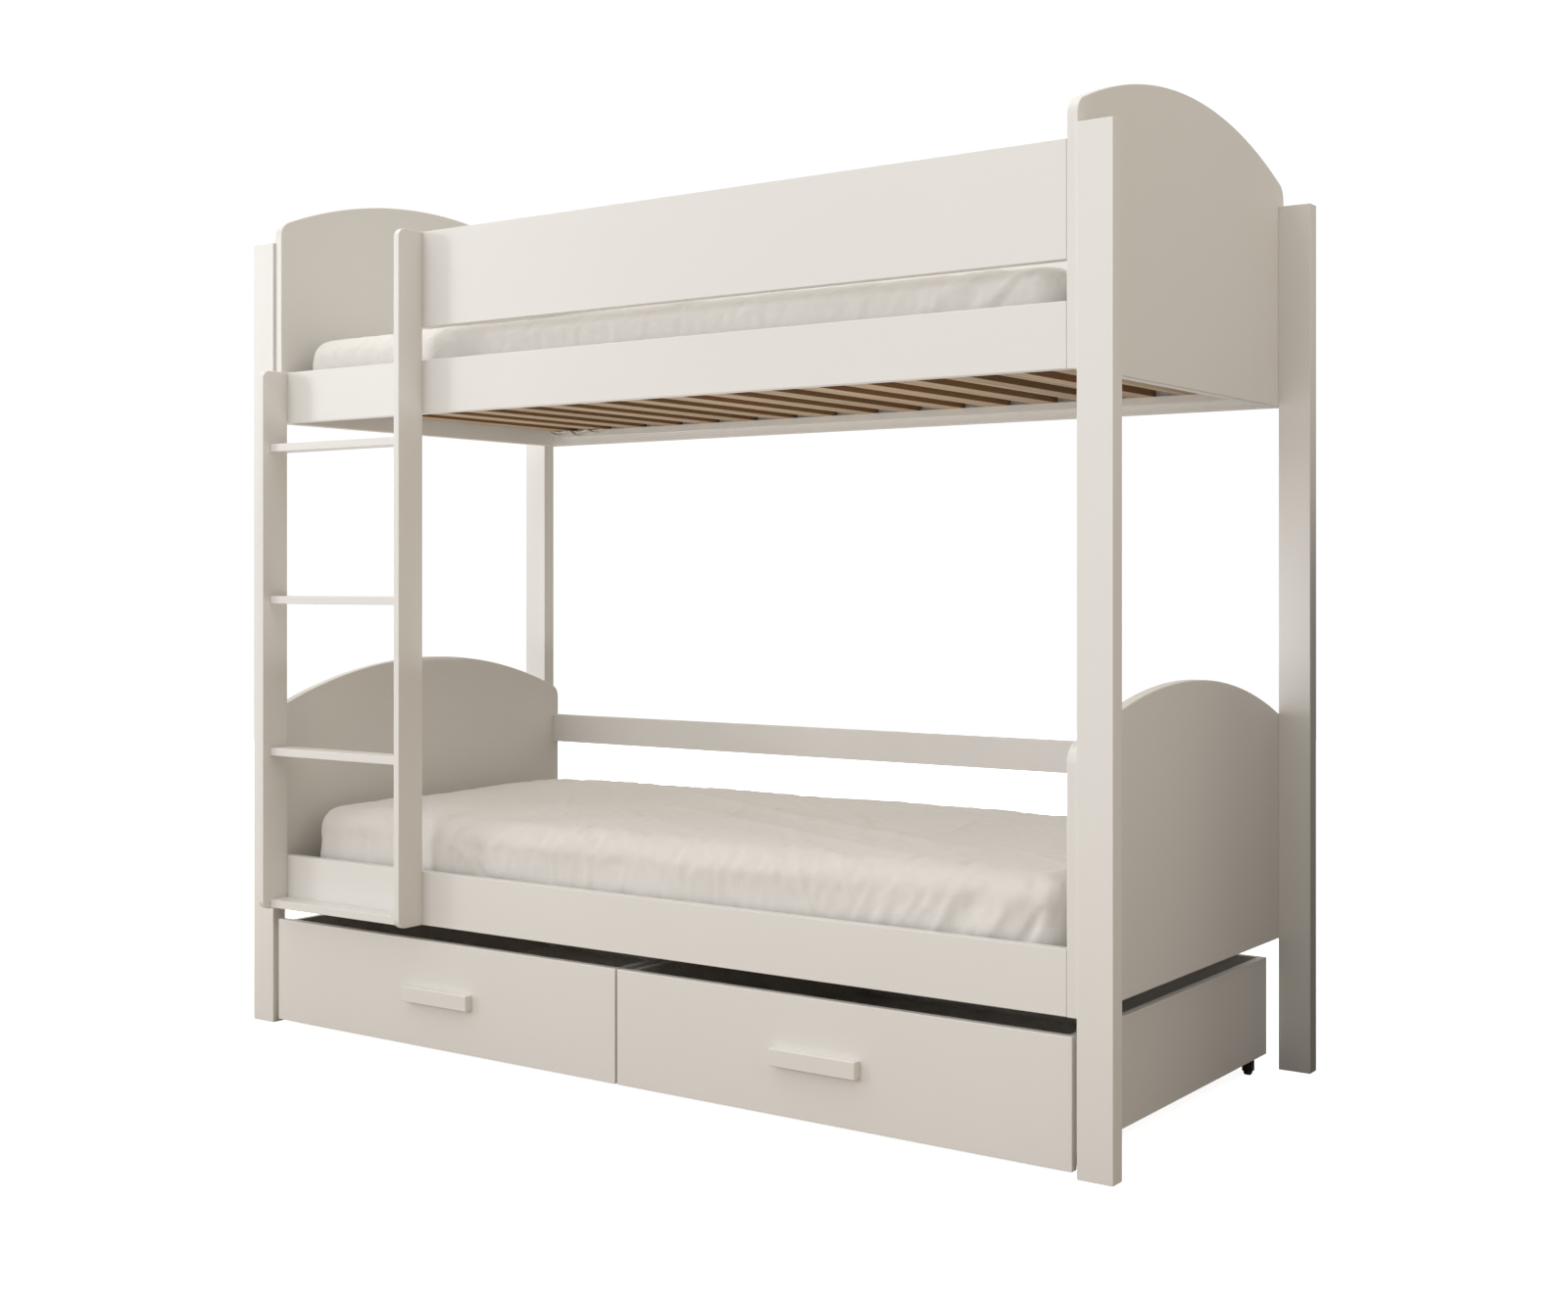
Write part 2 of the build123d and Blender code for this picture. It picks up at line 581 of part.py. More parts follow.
def make_drawer_boards(name):
    """The front, the two sides, the back and the bottom of one drawer."""
    left, right = box_x_span(name)
    long_end = DOWEL_LENGTH - DOWEL_SHORT_END
    front_bores = [
        (facing(place.origin.X, BOX_FRONT_Y, place.origin.Z, INWARD), DOWEL_RADIUS, DOWEL_SHORT_END)
        for place in side_dowel_places(name, BOX_FRONT_Y)
    ]
    screw_bores = [
        (place, HANDLE_SCREW_RADIUS, DRAWER_FRONT_THICKNESS)
        for place in handle_screw_places(name, BOX_FRONT_Y)
    ]
    front = board(
        front_x_span(name), (FACE_Y, BOX_FRONT_Y), DRAWER_FRONT, front_bores + screw_bores
    )
    save(front, f"drawer_{name}_front")

    end_bores = [(place, DOWEL_RADIUS, long_end) for place in side_dowel_places(name, BOX_FRONT_Y)]
    face_planes = back_dowel_places(name, DRAWER_SIDE, -1)
    spans = {"left": (left, left + DRAWER_SIDE), "right": (right - DRAWER_SIDE, right)}
    half = len(SIDE_DOWEL_RISES)
    for index, (hand, x_span) in enumerate(spans.items()):
        bores = end_bores[index * half:(index + 1) * half]
        bores += [(place, DOWEL_RADIUS, DOWEL_SHORT_END) for place in face_planes[index]]
        side_board = board(x_span, (BOX_FRONT_Y, BOX_REAR_Y), DRAWER_BOX, bores)
        save(side_board, f"drawer_{name}_side_{hand}")

    inner_span = (left + DRAWER_SIDE, right - DRAWER_SIDE)
    back_bores = []
    for planes in back_dowel_places(name, DRAWER_SIDE, 1):
        back_bores += [(place, DOWEL_RADIUS, long_end) for place in planes]
    back = board(inner_span, (BACK_FRONT_Y, BOX_REAR_Y), DRAWER_BOX, back_bores)
    save(back, f"drawer_{name}_back")

    bottom_span = (DRAWER_BOX[0], DRAWER_BOX[0] + DRAWER_BOTTOM)
    bottom = board(inner_span, (BOX_FRONT_Y, BACK_FRONT_Y), bottom_span)
    save(bottom, f"drawer_{name}_bottom")


def make_handle(name):
    """A block pull with a finger groove under its rear edge, and its two screws."""
    middle = HANDLE_CENTRES[name]
    top = HANDLE_BOTTOM + HANDLE_HEIGHT
    grip_length = HANDLE_LENGTH - 2 * GROOVE_END
    with BuildPart() as handle:
        with BuildSketch(Plane((middle, FACE_Y - HANDLE_DEPTH / 2, HANDLE_BOTTOM))):
            Rectangle(HANDLE_LENGTH, HANDLE_DEPTH)
        extrude(amount=HANDLE_HEIGHT)
        rear_edges = handle.faces().sort_by(Axis.Y)[-1].edges()
        fillet(handle.edges() - rear_edges, radius=HANDLE_ROUND)
        with BuildSketch(Plane((middle, FACE_Y - GROOVE_DEPTH / 2, HANDLE_BOTTOM))):
            Rectangle(grip_length, GROOVE_DEPTH)
        extrude(amount=GROOVE_HEIGHT, mode=Mode.SUBTRACT)
        with Locations(*handle_screw_places(name, FACE_Y)):
            Hole(HANDLE_SCREW_RADIUS + HOLE_CLEARANCE, HANDLE_SCREW_GRIP + HOLE_END_CLEARANCE)
    save(handle, f"drawer_{name}_handle")

    head_radius, head_height = HANDLE_SCREW_HEAD
    shank_length = DRAWER_FRONT_THICKNESS + HANDLE_SCREW_GRIP
    with BuildPart() as screws:
        with Locations(*handle_screw_places(name, BOX_FRONT_Y)):
            Cylinder(
                HANDLE_SCREW_RADIUS, shank_length, align=(Align.CENTER, Align.CENTER, Align.MAX)
            )
            Cylinder(
                head_radius, head_height, align=(Align.CENTER, Align.CENTER, Align.MIN)
            )
    save(screws, f"drawer_{name}_handle_screws")


def make_box_dowels(name):
    """The wooden dowels inside one drawer's corner joints, as one group."""
    places = side_dowel_places(name, BOX_FRONT_Y - DOWEL_SHORT_END)
    for planes in back_dowel_places(name, DRAWER_SIDE - DOWEL_SHORT_END, 1):
        places += planes
    save(rods(places, DOWEL_RADIUS, DOWEL_LENGTH), f"drawer_{name}_dowels")


def make_casters(name):
    """The fixed casters under one drawer: brackets, axles, and two pairs of wheels."""
    below = (Align.CENTER, Align.CENTER, Align.MAX)
    plate_top = DRAWER_BOX[0]
    spots = [(x, y) for x in caster_xs(name) for y in CASTER_YS.values()]
    cheek_offset = (CASTER_WIDTH - CHEEK) / 2
    axle_radius = CASTER_AXLE_RADIUS + WHEEL_RUNNING_GAP
    cross_places = [facing(x + CASTER_WIDTH, y, WHEEL_RADIUS, RIGHT) for x, y in spots]
    with BuildPart() as brackets:
        with Locations(*[(x, y, plate_top) for x, y in spots]):
            Box(CASTER_WIDTH, CASTER_PLATE_LENGTH, CASTER_PLATE, align=below)
            with Locations((-cheek_offset, 0), (cheek_offset, 0)):
                Box(CHEEK, CHEEK_LENGTH, plate_top - CHEEK_FOOT, align=below)
        with Locations(*cross_places):
            Cylinder(axle_radius, 2 * CASTER_WIDTH, align=below, mode=Mode.SUBTRACT)
    save(brackets, f"drawer_{name}_caster_brackets")

    axle_length = CASTER_WIDTH + 2 * CASTER_AXLE_HEAD
    axle_ends = [facing(x + axle_length / 2, y, WHEEL_RADIUS, RIGHT) for x, y in spots]
    save(rods(axle_ends, CASTER_AXLE_RADIUS, axle_length), f"drawer_{name}_caster_axles")

    for row, y in CASTER_YS.items():
        with BuildPart() as wheels:
            with Locations(*[facing(x, y, WHEEL_RADIUS, RIGHT) for x in caster_xs(name)]):
                Cylinder(WHEEL_RADIUS, WHEEL_WIDTH)
            rims = wheels.edges().filter_by(GeomType.CIRCLE)
            fillet(rims, radius=WHEEL_ROUND)
            with Locations(*[facing(x, y, WHEEL_RADIUS, RIGHT) for x in caster_xs(name)]):
                Cylinder(axle_radius, WHEEL_WIDTH, mode=Mode.SUBTRACT)
        save(wheels, f"drawer_{name}_wheels_{row}")


# ---- The whole bed -------------------------------------------------------------------------
for side_name in SIDES:
    for row_name in ROWS:
        make_post(side_name, row_name)
    for bunk_name in BUNK_BASES:
        make_end_panel(bunk_name, side_name)

for bunk_name in BUNK_BASES:
    for row_name in ROWS:
        make_rail(bunk_name, row_name)
        make_ledger(bunk_name, row_name)
    make_slats(bunk_name)
    make_tapes(bunk_name)
    make_mattress(bunk_name)

make_guards_and_back_rail()
make_stringer("left", BUNK_BASES["upper"] + RAIL_HEIGHT, ("lower", "upper"))
make_stringer("right", GUARD[1], ("lower", "upper", "guard"))
make_rungs()
make_cam_fittings()
make_frame_dowels()
make_frame_screws()

for drawer_name in SIDES:
    make_drawer_boards(drawer_name)
    make_handle(drawer_name)
    make_box_dowels(drawer_name)
    make_casters(drawer_name)
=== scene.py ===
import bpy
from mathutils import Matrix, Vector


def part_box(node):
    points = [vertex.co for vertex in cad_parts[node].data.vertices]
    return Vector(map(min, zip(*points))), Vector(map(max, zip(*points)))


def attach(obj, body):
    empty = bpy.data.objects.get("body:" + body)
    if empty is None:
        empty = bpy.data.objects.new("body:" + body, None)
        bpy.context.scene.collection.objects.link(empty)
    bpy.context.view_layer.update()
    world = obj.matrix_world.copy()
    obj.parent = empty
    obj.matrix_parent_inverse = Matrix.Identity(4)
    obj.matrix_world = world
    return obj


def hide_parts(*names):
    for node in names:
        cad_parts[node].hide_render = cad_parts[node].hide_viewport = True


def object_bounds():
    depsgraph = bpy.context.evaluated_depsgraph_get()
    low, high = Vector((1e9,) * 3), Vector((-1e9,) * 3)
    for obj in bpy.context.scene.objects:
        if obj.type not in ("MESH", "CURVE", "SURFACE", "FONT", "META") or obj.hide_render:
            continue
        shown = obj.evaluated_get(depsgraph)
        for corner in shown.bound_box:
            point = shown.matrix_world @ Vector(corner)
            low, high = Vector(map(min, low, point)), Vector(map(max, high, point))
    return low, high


bl_info = {
    "name": "Bunk bed with ladder",
    "version": (1, 0, 0),
    "blender": (4, 5, 0),
    "location": "3D View > Sidebar > Bunk bed",
    "description": "Finishes, mattresses, tapes and studio for the bunk bed's packed frame",
    "category": "Object",
}

import math
import random

import bmesh
import bpy
import numpy as np
from mathutils import Euler, Vector, noise

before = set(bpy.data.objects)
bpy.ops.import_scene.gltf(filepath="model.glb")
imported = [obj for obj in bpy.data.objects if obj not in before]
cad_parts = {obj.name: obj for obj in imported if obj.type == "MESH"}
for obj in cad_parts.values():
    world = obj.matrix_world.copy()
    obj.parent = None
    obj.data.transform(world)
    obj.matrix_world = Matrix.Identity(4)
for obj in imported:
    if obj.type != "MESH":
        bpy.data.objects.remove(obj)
CAD_LOW, CAD_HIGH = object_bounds()

SIDES = ("left", "right")
ENDS = ("front", "rear")
LEVELS = ("lower", "upper")
UP_BOARDS = [f"post_{end}_{side}" for end in ENDS for side in SIDES]
UP_BOARDS += [f"ladder_stringer_{side}" for side in SIDES]
PANELS = [f"{level}_end_panel_{side}" for level in LEVELS for side in SIDES]
LONG_BOARDS = [f"{level}_{part}_{end}" for part in ("rail", "ledger") for level in LEVELS for end in ENDS]
LONG_BOARDS += ["lower_back_rail"] + [f"guard_board_{end}" for end in ENDS]
LONG_BOARDS += [f"ladder_rung_{number}" for number in range(1, 5)]

# The room's light by direction: axis, sign, whether from above the horizon, and its strength.
ROOM_LIGHT = (
    (2, 1.0, True, (0.93, 0.88, 0.80)),
    (0, -1.0, True, (0.70, 0.70, 0.69)),
    (1, -1.0, True, (0.12, 0.12, 0.12)),
    (1, 1.0, True, (0.36, 0.36, 0.31)),
    (0, -1.0, False, (1.2, 1.19, 1.15)),
    (1, -1.0, False, (0.44, 0.435, 0.43)),
    (0, 1.0, False, (0.60, 0.52, 0.42)),
)
BACKDROP_STRENGTH = 1.05
# The lamps: name, way to it from the bed's middle, distance, diameter, colour.
LAMPS = (
    ("key_light", (-0.78, -0.60, 0.17), 24.0, 4.8, (1.0, 1.0, 1.0)),
    ("front_light", (-0.15, -1.0, 0.25), 24.0, 12.0, (0.97, 0.975, 1.0)),
    ("top_light", (-0.32, -0.25, 1.0), 3.4, 3.0, (1.0, 1.0, 1.0)),
    ("fill_light", (2.6, -0.6, 0.9), 6.0, 2.4, (1.0, 0.88, 0.78)),
)
UNDER_LIGHT_COLOR = (1.0, 0.98, 0.95)
UNDER_LIGHT_RISE = 0.3  # above the lower mattress
FLOOR_RADIUS = 9.0
BOUNCE_RADIUS = 2.1
BOUNCE_DROP = 0.001
FLOOR_GLOW = 0.88
FLOOR_GLOW_FAR = 0.15  # added away from the bed
FLAG_X = 1.47
FLAG_Y = (0.30, 1.7)
FLAG_Z = (0.0, 1.25)

# The lacquer's faint grain: streaks per metre along X, Y and Z.
UPRIGHT_GRAIN = (90.0, 90.0, 2.6)
PANEL_GRAIN = (40.0, 70.0, 3.0)
LONG_GRAIN = (2.6, 90.0, 90.0)
DEEP_GRAIN = (90.0, 2.6, 90.0)
SLAT_PITCH = 0.1188
DOWEL_PITCH = 0.05
# Loose loops of slat tape: where each starts and ends along the bed, and how far it hangs.
TAPE_LOOPS = ((-0.985, -0.928, 0.012), (-0.914, -0.856, 0.017), (-0.850, -0.800, 0.010))
# The line of a loop: parts of its width and of its hang.
LOOP_LINE = (
    (0.0, 0.0),
    (0.15, 0.08),
    (0.38, 0.75),
    (0.68, 1.0),
    (0.45, 0.5),
    (0.60, 0.22),
    (0.88, 0.30),
    (1.0, 0.0),
)
LOOP_REACH = 0.032  # from the slats' rear ends
LOOP_DROP = 0.001  # under the slats
TAPE_WIDTH = 0.014
TAPE_THICKNESS = 0.0012
CURVE_STEPS = 16

# A mattress's block, in its space: gaps at its ends, sides, foot and top, and its crown.
END_GAP, SIDE_GAP, FOOT_GAP, TOP_GAP = 0.007, 0.006, 0.0005, 0.006
CROWN = 0.012
CROWN_POWER_X, CROWN_POWER_Y = 6, 4
# How far the finished cover may stand out of that space: at the ends, sides and top.
END_SWELL, SIDE_SWELL, TOP_SWELL = 0.012, 0.008, 0.006
FOOT_LIFT = 0.0004
LOWER_SHORTENED = 0.026  # the lower mattress stops this much short at the ladder's end
CLOTH_QUALITY = 3
CLOTH_MASS = 0.3
CLOTH_STIFFNESS = 15.0
CLOTH_SHEAR = 5.0
CLOTH_BENDING = 0.2
CLOTH_FRAMES = 20
RESTING_HEIGHT = 0.012  # the cover is held up to this height
# The fine creases of the long sides are drawn from these ranges, in metres but for the lean.
SIDE_CREASE_GAP = (0.018, 0.055)
SIDE_CREASE_LEAN = (0.25, 0.75)
SIDE_CREASE_TALL = (0.35, 0.95)  # parts of the mattress's height
SIDE_CREASE_DROP = (0.02, 0.07)
SIDE_CREASE_WIDTH = (0.004, 0.009)
SIDE_CREASE_HEIGHT = (0.0008, 0.0022)
SIDE_CREASE_BOW = 0.01
CREASE_MARGIN = 0.05  # no creases this near the ends
TURNED_STRETCH = 0.42  # creases lean the other way this near the right end
# And the soft folds of the top.
TOP_FOLDS = 46
TOP_FOLD_HEADING = (-0.55, 0.35)  # mean and spread
TOP_FOLD_REACH = (0.12, 0.5)
TOP_FOLD_WIDTH = (0.006, 0.02)
TOP_FOLD_HEIGHT = (0.0006, 0.0026)
SOFT_WAVES = (5.0, 9.0, 16.0)  # waves of the padding per metre
SOFT_HEIGHT = 0.0035


# ---------------------------------------------------------------- settings


class LacquerSettings(bpy.types.PropertyGroup):
    """The satin lacquer on the boards."""

    color: bpy.props.FloatVectorProperty(
        name="Lacquer",
        description="Colour of the lacquer",
        subtype="COLOR",
        size=3,
        min=0.0,
        max=1.0,
        default=(0.80, 0.785, 0.76),
    )
    # Edge colour: partly lacquer rubbed thin, partly a painted highlight along the rounded edges.
    worn_and_highlit: bpy.props.FloatVectorProperty(
        name="Worn and highlit edges",
        description="Colour where the lacquer has rubbed thin along an edge",
        subtype="COLOR",
        size=3,
        min=0.0,
        max=1.0,
        default=(0.85, 0.82, 0.77),
    )
    gloss: bpy.props.FloatProperty(
        name="Roughness",
        description="Mean roughness of the satin surface",
        subtype="FACTOR",
        min=0.0,
        max=1.0,
        default=0.36,
    )


class SlatSettings(bpy.types.PropertyGroup):
    """The softwood slats."""

    light: bpy.props.FloatVectorProperty(
        name="Early wood",
        description="Colour of the wood between the growth lines",
        subtype="COLOR",
        size=3,
        min=0.0,
        max=1.0,
        default=(0.52, 0.40, 0.275),
    )
    dark: bpy.props.FloatVectorProperty(
        name="Late wood",
        description="Colour of the growth lines",
        subtype="COLOR",
        size=3,
        min=0.0,
        max=1.0,
        default=(0.37, 0.255, 0.155),
    )


class MattressSettings(bpy.types.PropertyGroup):
    """The two mattresses."""

    color: bpy.props.FloatVectorProperty(
        name="Cotton",
        description="Colour of the cotton cover",
        subtype="COLOR",
        size=3,
        min=0.0,
        max=1.0,
        default=(0.785, 0.76, 0.73),
    )
    rim: bpy.props.FloatProperty(
        name="Rim radius",
        description="Radius of the mattress's rounded rims",
        unit="LENGTH",
        min=0.01,
        max=0.09,
        default=0.052,
    )
    step: bpy.props.FloatProperty(
        name="Mesh step",
        description="Side of one quad of the cloth before it is divided",
        unit="LENGTH",
        min=0.006,
        max=0.03,
        default=0.012,
    )
    pressure: bpy.props.FloatProperty(
        name="Pressure",
        description="How hard the filling pushes the cover out",
        min=0.0,
        max=20.0,
        default=4.0,
    )
    spare: bpy.props.FloatProperty(
        name="Spare cloth",
        description="How much more cloth the cover has than the foam needs",
        subtype="FACTOR",
        min=0.0,
        max=0.1,
        default=0.022,
    )
    grip: bpy.props.FloatProperty(
        name="Foam's grip",
        description="How firmly the foam under the cover holds it in place",
        subtype="FACTOR",
        min=0.0,
        max=1.0,
        default=0.3,
    )
    cap: bpy.props.FloatProperty(
        name="Largest move",
        description="Furthest that the cloth may move from the foam",
        unit="LENGTH",
        min=0.002,
        max=0.03,
        default=0.022,
    )


class StageSettings(bpy.types.PropertyGroup):
    """Floor, lights and camera."""

    lens: bpy.props.FloatProperty(
        name="Lens",
        description="Focal length in millimetres",
        min=20.0,
        max=120.0,
        default=44.87,
    )
    place: bpy.props.FloatVectorProperty(
        name="Camera place",
        description="Where the camera stands",
        subtype="TRANSLATION",
        size=3,
        unit="LENGTH",
        default=(2.542, -3.446, 1.0175),
    )
    turn: bpy.props.FloatProperty(
        name="Camera turn",
        description="Turn of the camera about the vertical",
        subtype="ANGLE",
        default=math.radians(35.32),
    )
    shift: bpy.props.FloatProperty(
        name="Camera shift",
        description="Vertical shift of the picture",
        default=-0.0439,
    )
    key: bpy.props.FloatProperty(
        name="Key light",
        description="Strength of the low light from the front left",
        min=0.0,
        default=560.0,
    )
    front: bpy.props.FloatProperty(
        name="Front light",
        description="Strength of the wide light from the front",
        min=0.0,
        default=1230.0,
    )
    fill: bpy.props.FloatProperty(
        name="Fill light",
        description="Strength of the soft light from the right",
        min=0.0,
        default=36.0,
    )
    top: bpy.props.FloatProperty(
        name="Top light",
        description="Strength of the soft light overhead",
        min=0.0,
        default=26.0,
    )
    under: bpy.props.FloatProperty(
        name="Light under the upper bunk",
        description="Strength of the light thrown up at the slats",
        min=0.0,
        default=3.4,
    )
    room: bpy.props.FloatProperty(
        name="Room light",
        description="Strength of the light from the studio's walls",
        min=0.0,
        default=1.0,
    )


class BunkBedSettings(bpy.types.PropertyGroup):
    """All settings of the bunk bed."""

    lacquer: bpy.props.PointerProperty(type=LacquerSettings, name="Lacquer", description="Boards")
    slats: bpy.props.PointerProperty(type=SlatSettings, name="Slats", description="Slats")
    mattress: bpy.props.PointerProperty(
        type=MattressSettings, name="Mattresses", description="Mattresses"
    )
    stage: bpy.props.PointerProperty(type=StageSettings, name="Stage", description="Stage")


# ---------------------------------------------------------------- materials


def add_node(tree, kind, settings=None, **inputs):
    """Adds a node. A socket given as an input is linked, and a number is set."""
    made = tree.nodes.new(kind)
    for name, value in (settings or {}).items():
        setattr(made, name, value)
    for name, value in inputs.items():
        socket = made.inputs[int(name[1:])] if name[0] == "i" and name[1:].isdigit() else None
        socket = socket or made.inputs[name.replace("_", " ")]
        if isinstance(value, bpy.types.NodeSocket):
            tree.links.new(value, socket)
        else:
            socket.default_value = value
    return made


def maths(tree, operation, first, second=0.0):
    """One sum of two numbers or sockets."""
    return add_node(tree, "ShaderNodeMath", {"operation": operation}, i0=first, i1=second).outputs[0]


def new_material(name):
    """An empty material with its tree and its surface shader."""
    material = bpy.data.materials.new(name)
    material.use_nodes = True
    tree = material.node_tree
    tree.nodes.clear()
    shader = add_node(tree, "ShaderNodeBsdfPrincipled")
    output = add_node(tree, "ShaderNodeOutputMaterial")
    tree.links.new(shader.outputs[0], output.inputs["Surface"])
    return material, tree, shader


def stretched(tree, scale):
    """The place on the object, stretched by scale along each axis."""
    place = add_node(tree, "ShaderNodeTexCoord").outputs["Object"]
    return add_node(tree, "ShaderNodeMapping", Vector=place, Scale=scale).outputs[0]


def speckle(tree, where, scale, detail=2.0, roughness=0.5):
    """A noise value from 0 to 1."""
    made = add_node(
        tree, "ShaderNodeTexNoise", Vector=where, Scale=scale, Detail=detail, Roughness=roughness
    )
    return made.outputs[0]


def spread(tree, value, low, high):
    """value, from 0 to 1, spread between low and high."""
    made = add_node(tree, "ShaderNodeMapRange", i0=value)
    made.inputs["To Min"].default_value = low
    made.inputs["To Max"].default_value = high
    return made.outputs[0]


def ramp(tree, value, stops):
    """A colour ramp over (place, colour) stops."""
    made = add_node(tree, "ShaderNodeValToRGB", i0=value)
    while len(made.color_ramp.elements) < len(stops):
        made.color_ramp.elements.new(0.5)
    for element, (place, color) in zip(made.color_ramp.elements, stops):
        element.position = place
        element.color = (*color, 1.0)
    return made.outputs[0]


def blend_colors(tree, factor, first, second):
    """first where factor is 0, second where it is 1."""
    made = add_node(tree, "ShaderNodeMix", {"data_type": "RGBA"})
    for slot, value in ((0, factor), (6, first), (7, second)):
        if isinstance(value, bpy.types.NodeSocket):
            tree.links.new(value, made.inputs[slot])
        else:
            made.inputs[slot].default_value = value if slot == 0 else (*value, 1.0)
    return made.outputs[2]


def bump(tree, height, depth, strength, under=None):
    """A bump of depth metres, on top of the bump under it."""
    made = add_node(tree, "ShaderNodeBump", Height=height, Distance=depth, Strength=strength)
    if under is not None:
        tree.links.new(under, made.inputs["Normal"])
    return made.outputs[0]


def edge_mask(tree, radius):
    """1 along the sharp edges of a board and 0 on its flats."""
    soft = add_node(tree, "ShaderNodeBevel", {"samples": 4}, Radius=radius).outputs[0]
    flat = add_node(tree, "ShaderNodeNewGeometry").outputs["Normal"]
    same = add_node(tree, "ShaderNodeVectorMath", {"operation": "DOT_PRODUCT"}, i0=soft, i1=flat)
    return maths(tree, "SUBTRACT", 1.0, same.outputs["Value"])


def lacquer(name, grain, settings):
    """Satin lacquer over board: roller stipple, a faint grain along the board, and edges painted lighter,
    partly as rubbed lacquer and partly as a painted highlight.
    """
    material, tree, shader = new_material(name)
    place = stretched(tree, (1.0, 1.0, 1.0))
    streaks = speckle(tree, stretched(tree, grain), scale=1.0, detail=4.0, roughness=0.55)
    clouds = speckle(tree, place, scale=2.2)
    stipple = speckle(tree, place, scale=520.0)
    ground = tuple(settings.color)
    shaded = tuple(part * 0.955 for part in ground)
    color = blend_colors(tree, clouds, ground, shaded)
    color = blend_colors(tree, spread(tree, streaks, low=0.0, high=0.14), color, shaded)
    # Edges painted lighter: partly rubbed lacquer, partly a painted highlight of the rounded edges. They
    # are also made rougher.
    worn_and_highlit = maths(tree, "MULTIPLY", edge_mask(tree, radius=0.0012), 1.2)
    color = blend_colors(tree, worn_and_highlit, color, tuple(settings.worn_and_highlit))
    tree.links.new(color, shader.inputs["Base Color"])
    rough = spread(tree, streaks, settings.gloss - 0.05, settings.gloss + 0.07)
    rubbed = maths(tree, "MULTIPLY", worn_and_highlit, 0.1)
    tree.links.new(maths(tree, "ADD", rough, rubbed), shader.inputs["Roughness"])
    normal = bump(tree, streaks, depth=0.0005, strength=0.08)
    normal = bump(tree, stipple, depth=0.00012, strength=0.22, under=normal)
    tree.links.new(normal, shader.inputs["Normal"])
    shader.inputs["Specular IOR Level"].default_value = 0.42
    shader.inputs["Coat Weight"].default_value = 0.12
    shader.inputs["Coat Roughness"].default_value = 0.22
    return material


def planed_wood(name, light, dark, grain, pitch, painted_side_shade=None):
    """Planed wood: growth lines along the grain, pores, and a tone of its own for each piece."""
    material, tree, shader = new_material(name)
    place = add_node(tree, "ShaderNodeTexCoord").outputs["Object"]
    parts = add_node(tree, "ShaderNodeSeparateXYZ", i0=place)
    number = maths(tree, "SNAP", parts.outputs[0], pitch)
    own = add_node(tree, "ShaderNodeTexWhiteNoise", {"noise_dimensions": "1D"}, W=number)
    offset = add_node(
        tree, "ShaderNodeVectorMath", {"operation": "SCALE"}, i0=own.outputs["Color"], Scale=3.0
    ).outputs[0]
    moved = add_node(tree, "ShaderNodeVectorMath", {"operation": "ADD"}, i0=place, i1=offset)
    long = add_node(tree, "ShaderNodeMapping", Vector=moved.outputs[0], Scale=grain).outputs[0]
    bend = speckle(tree, long, scale=0.9)
    rings = add_node(
        tree,
        "ShaderNodeTexWave",
        {"wave_type": "RINGS", "rings_direction": "Y", "wave_profile": "SAW"},
        Vector=long,
        Scale=1.6,
        Distortion=5.0,
        Detail=3.0,
    ).outputs["Fac"]
    pores = speckle(tree, long, scale=14.0, detail=5.0, roughness=0.6)
    middle = tuple((a + b) / 2 for a, b in zip(light, dark))
    color = ramp(tree, rings, [(0.0, light), (0.55, middle), (0.85, dark), (1.0, light)])
    color = blend_colors(tree, spread(tree, pores, low=-0.1, high=0.5), color, middle)
    # Painted shade: faces turned along X, the slats' sides in their narrow gaps, are darkened towards
    # this colour.
    if painted_side_shade is not None:
        facing = add_node(tree, "ShaderNodeTexCoord").outputs["Normal"]
        across = add_node(tree, "ShaderNodeSeparateXYZ", i0=facing).outputs[0]
        turned = maths(tree, "MULTIPLY", maths(tree, "ABSOLUTE", across), 4.0)
        color = blend_colors(tree, maths(tree, "MINIMUM", turned, 1.0), color, painted_side_shade)
    tone = spread(tree, own.outputs["Value"], low=0.78, high=1.12)
    toned = add_node(tree, "ShaderNodeHueSaturation", Color=color, Value=tone).outputs[0]
    tree.links.new(toned, shader.inputs["Base Color"])
    tree.links.new(spread(tree, pores, low=0.5, high=0.72), shader.inputs["Roughness"])
    normal = bump(tree, maths(tree, "ADD", bend, pores), depth=0.0005, strength=0.35)
    normal = bump(tree, rings, depth=0.0003, strength=0.25, under=normal)
    tree.links.new(normal, shader.inputs["Normal"])
    shader.inputs["Specular IOR Level"].default_value = 0.3
    return material


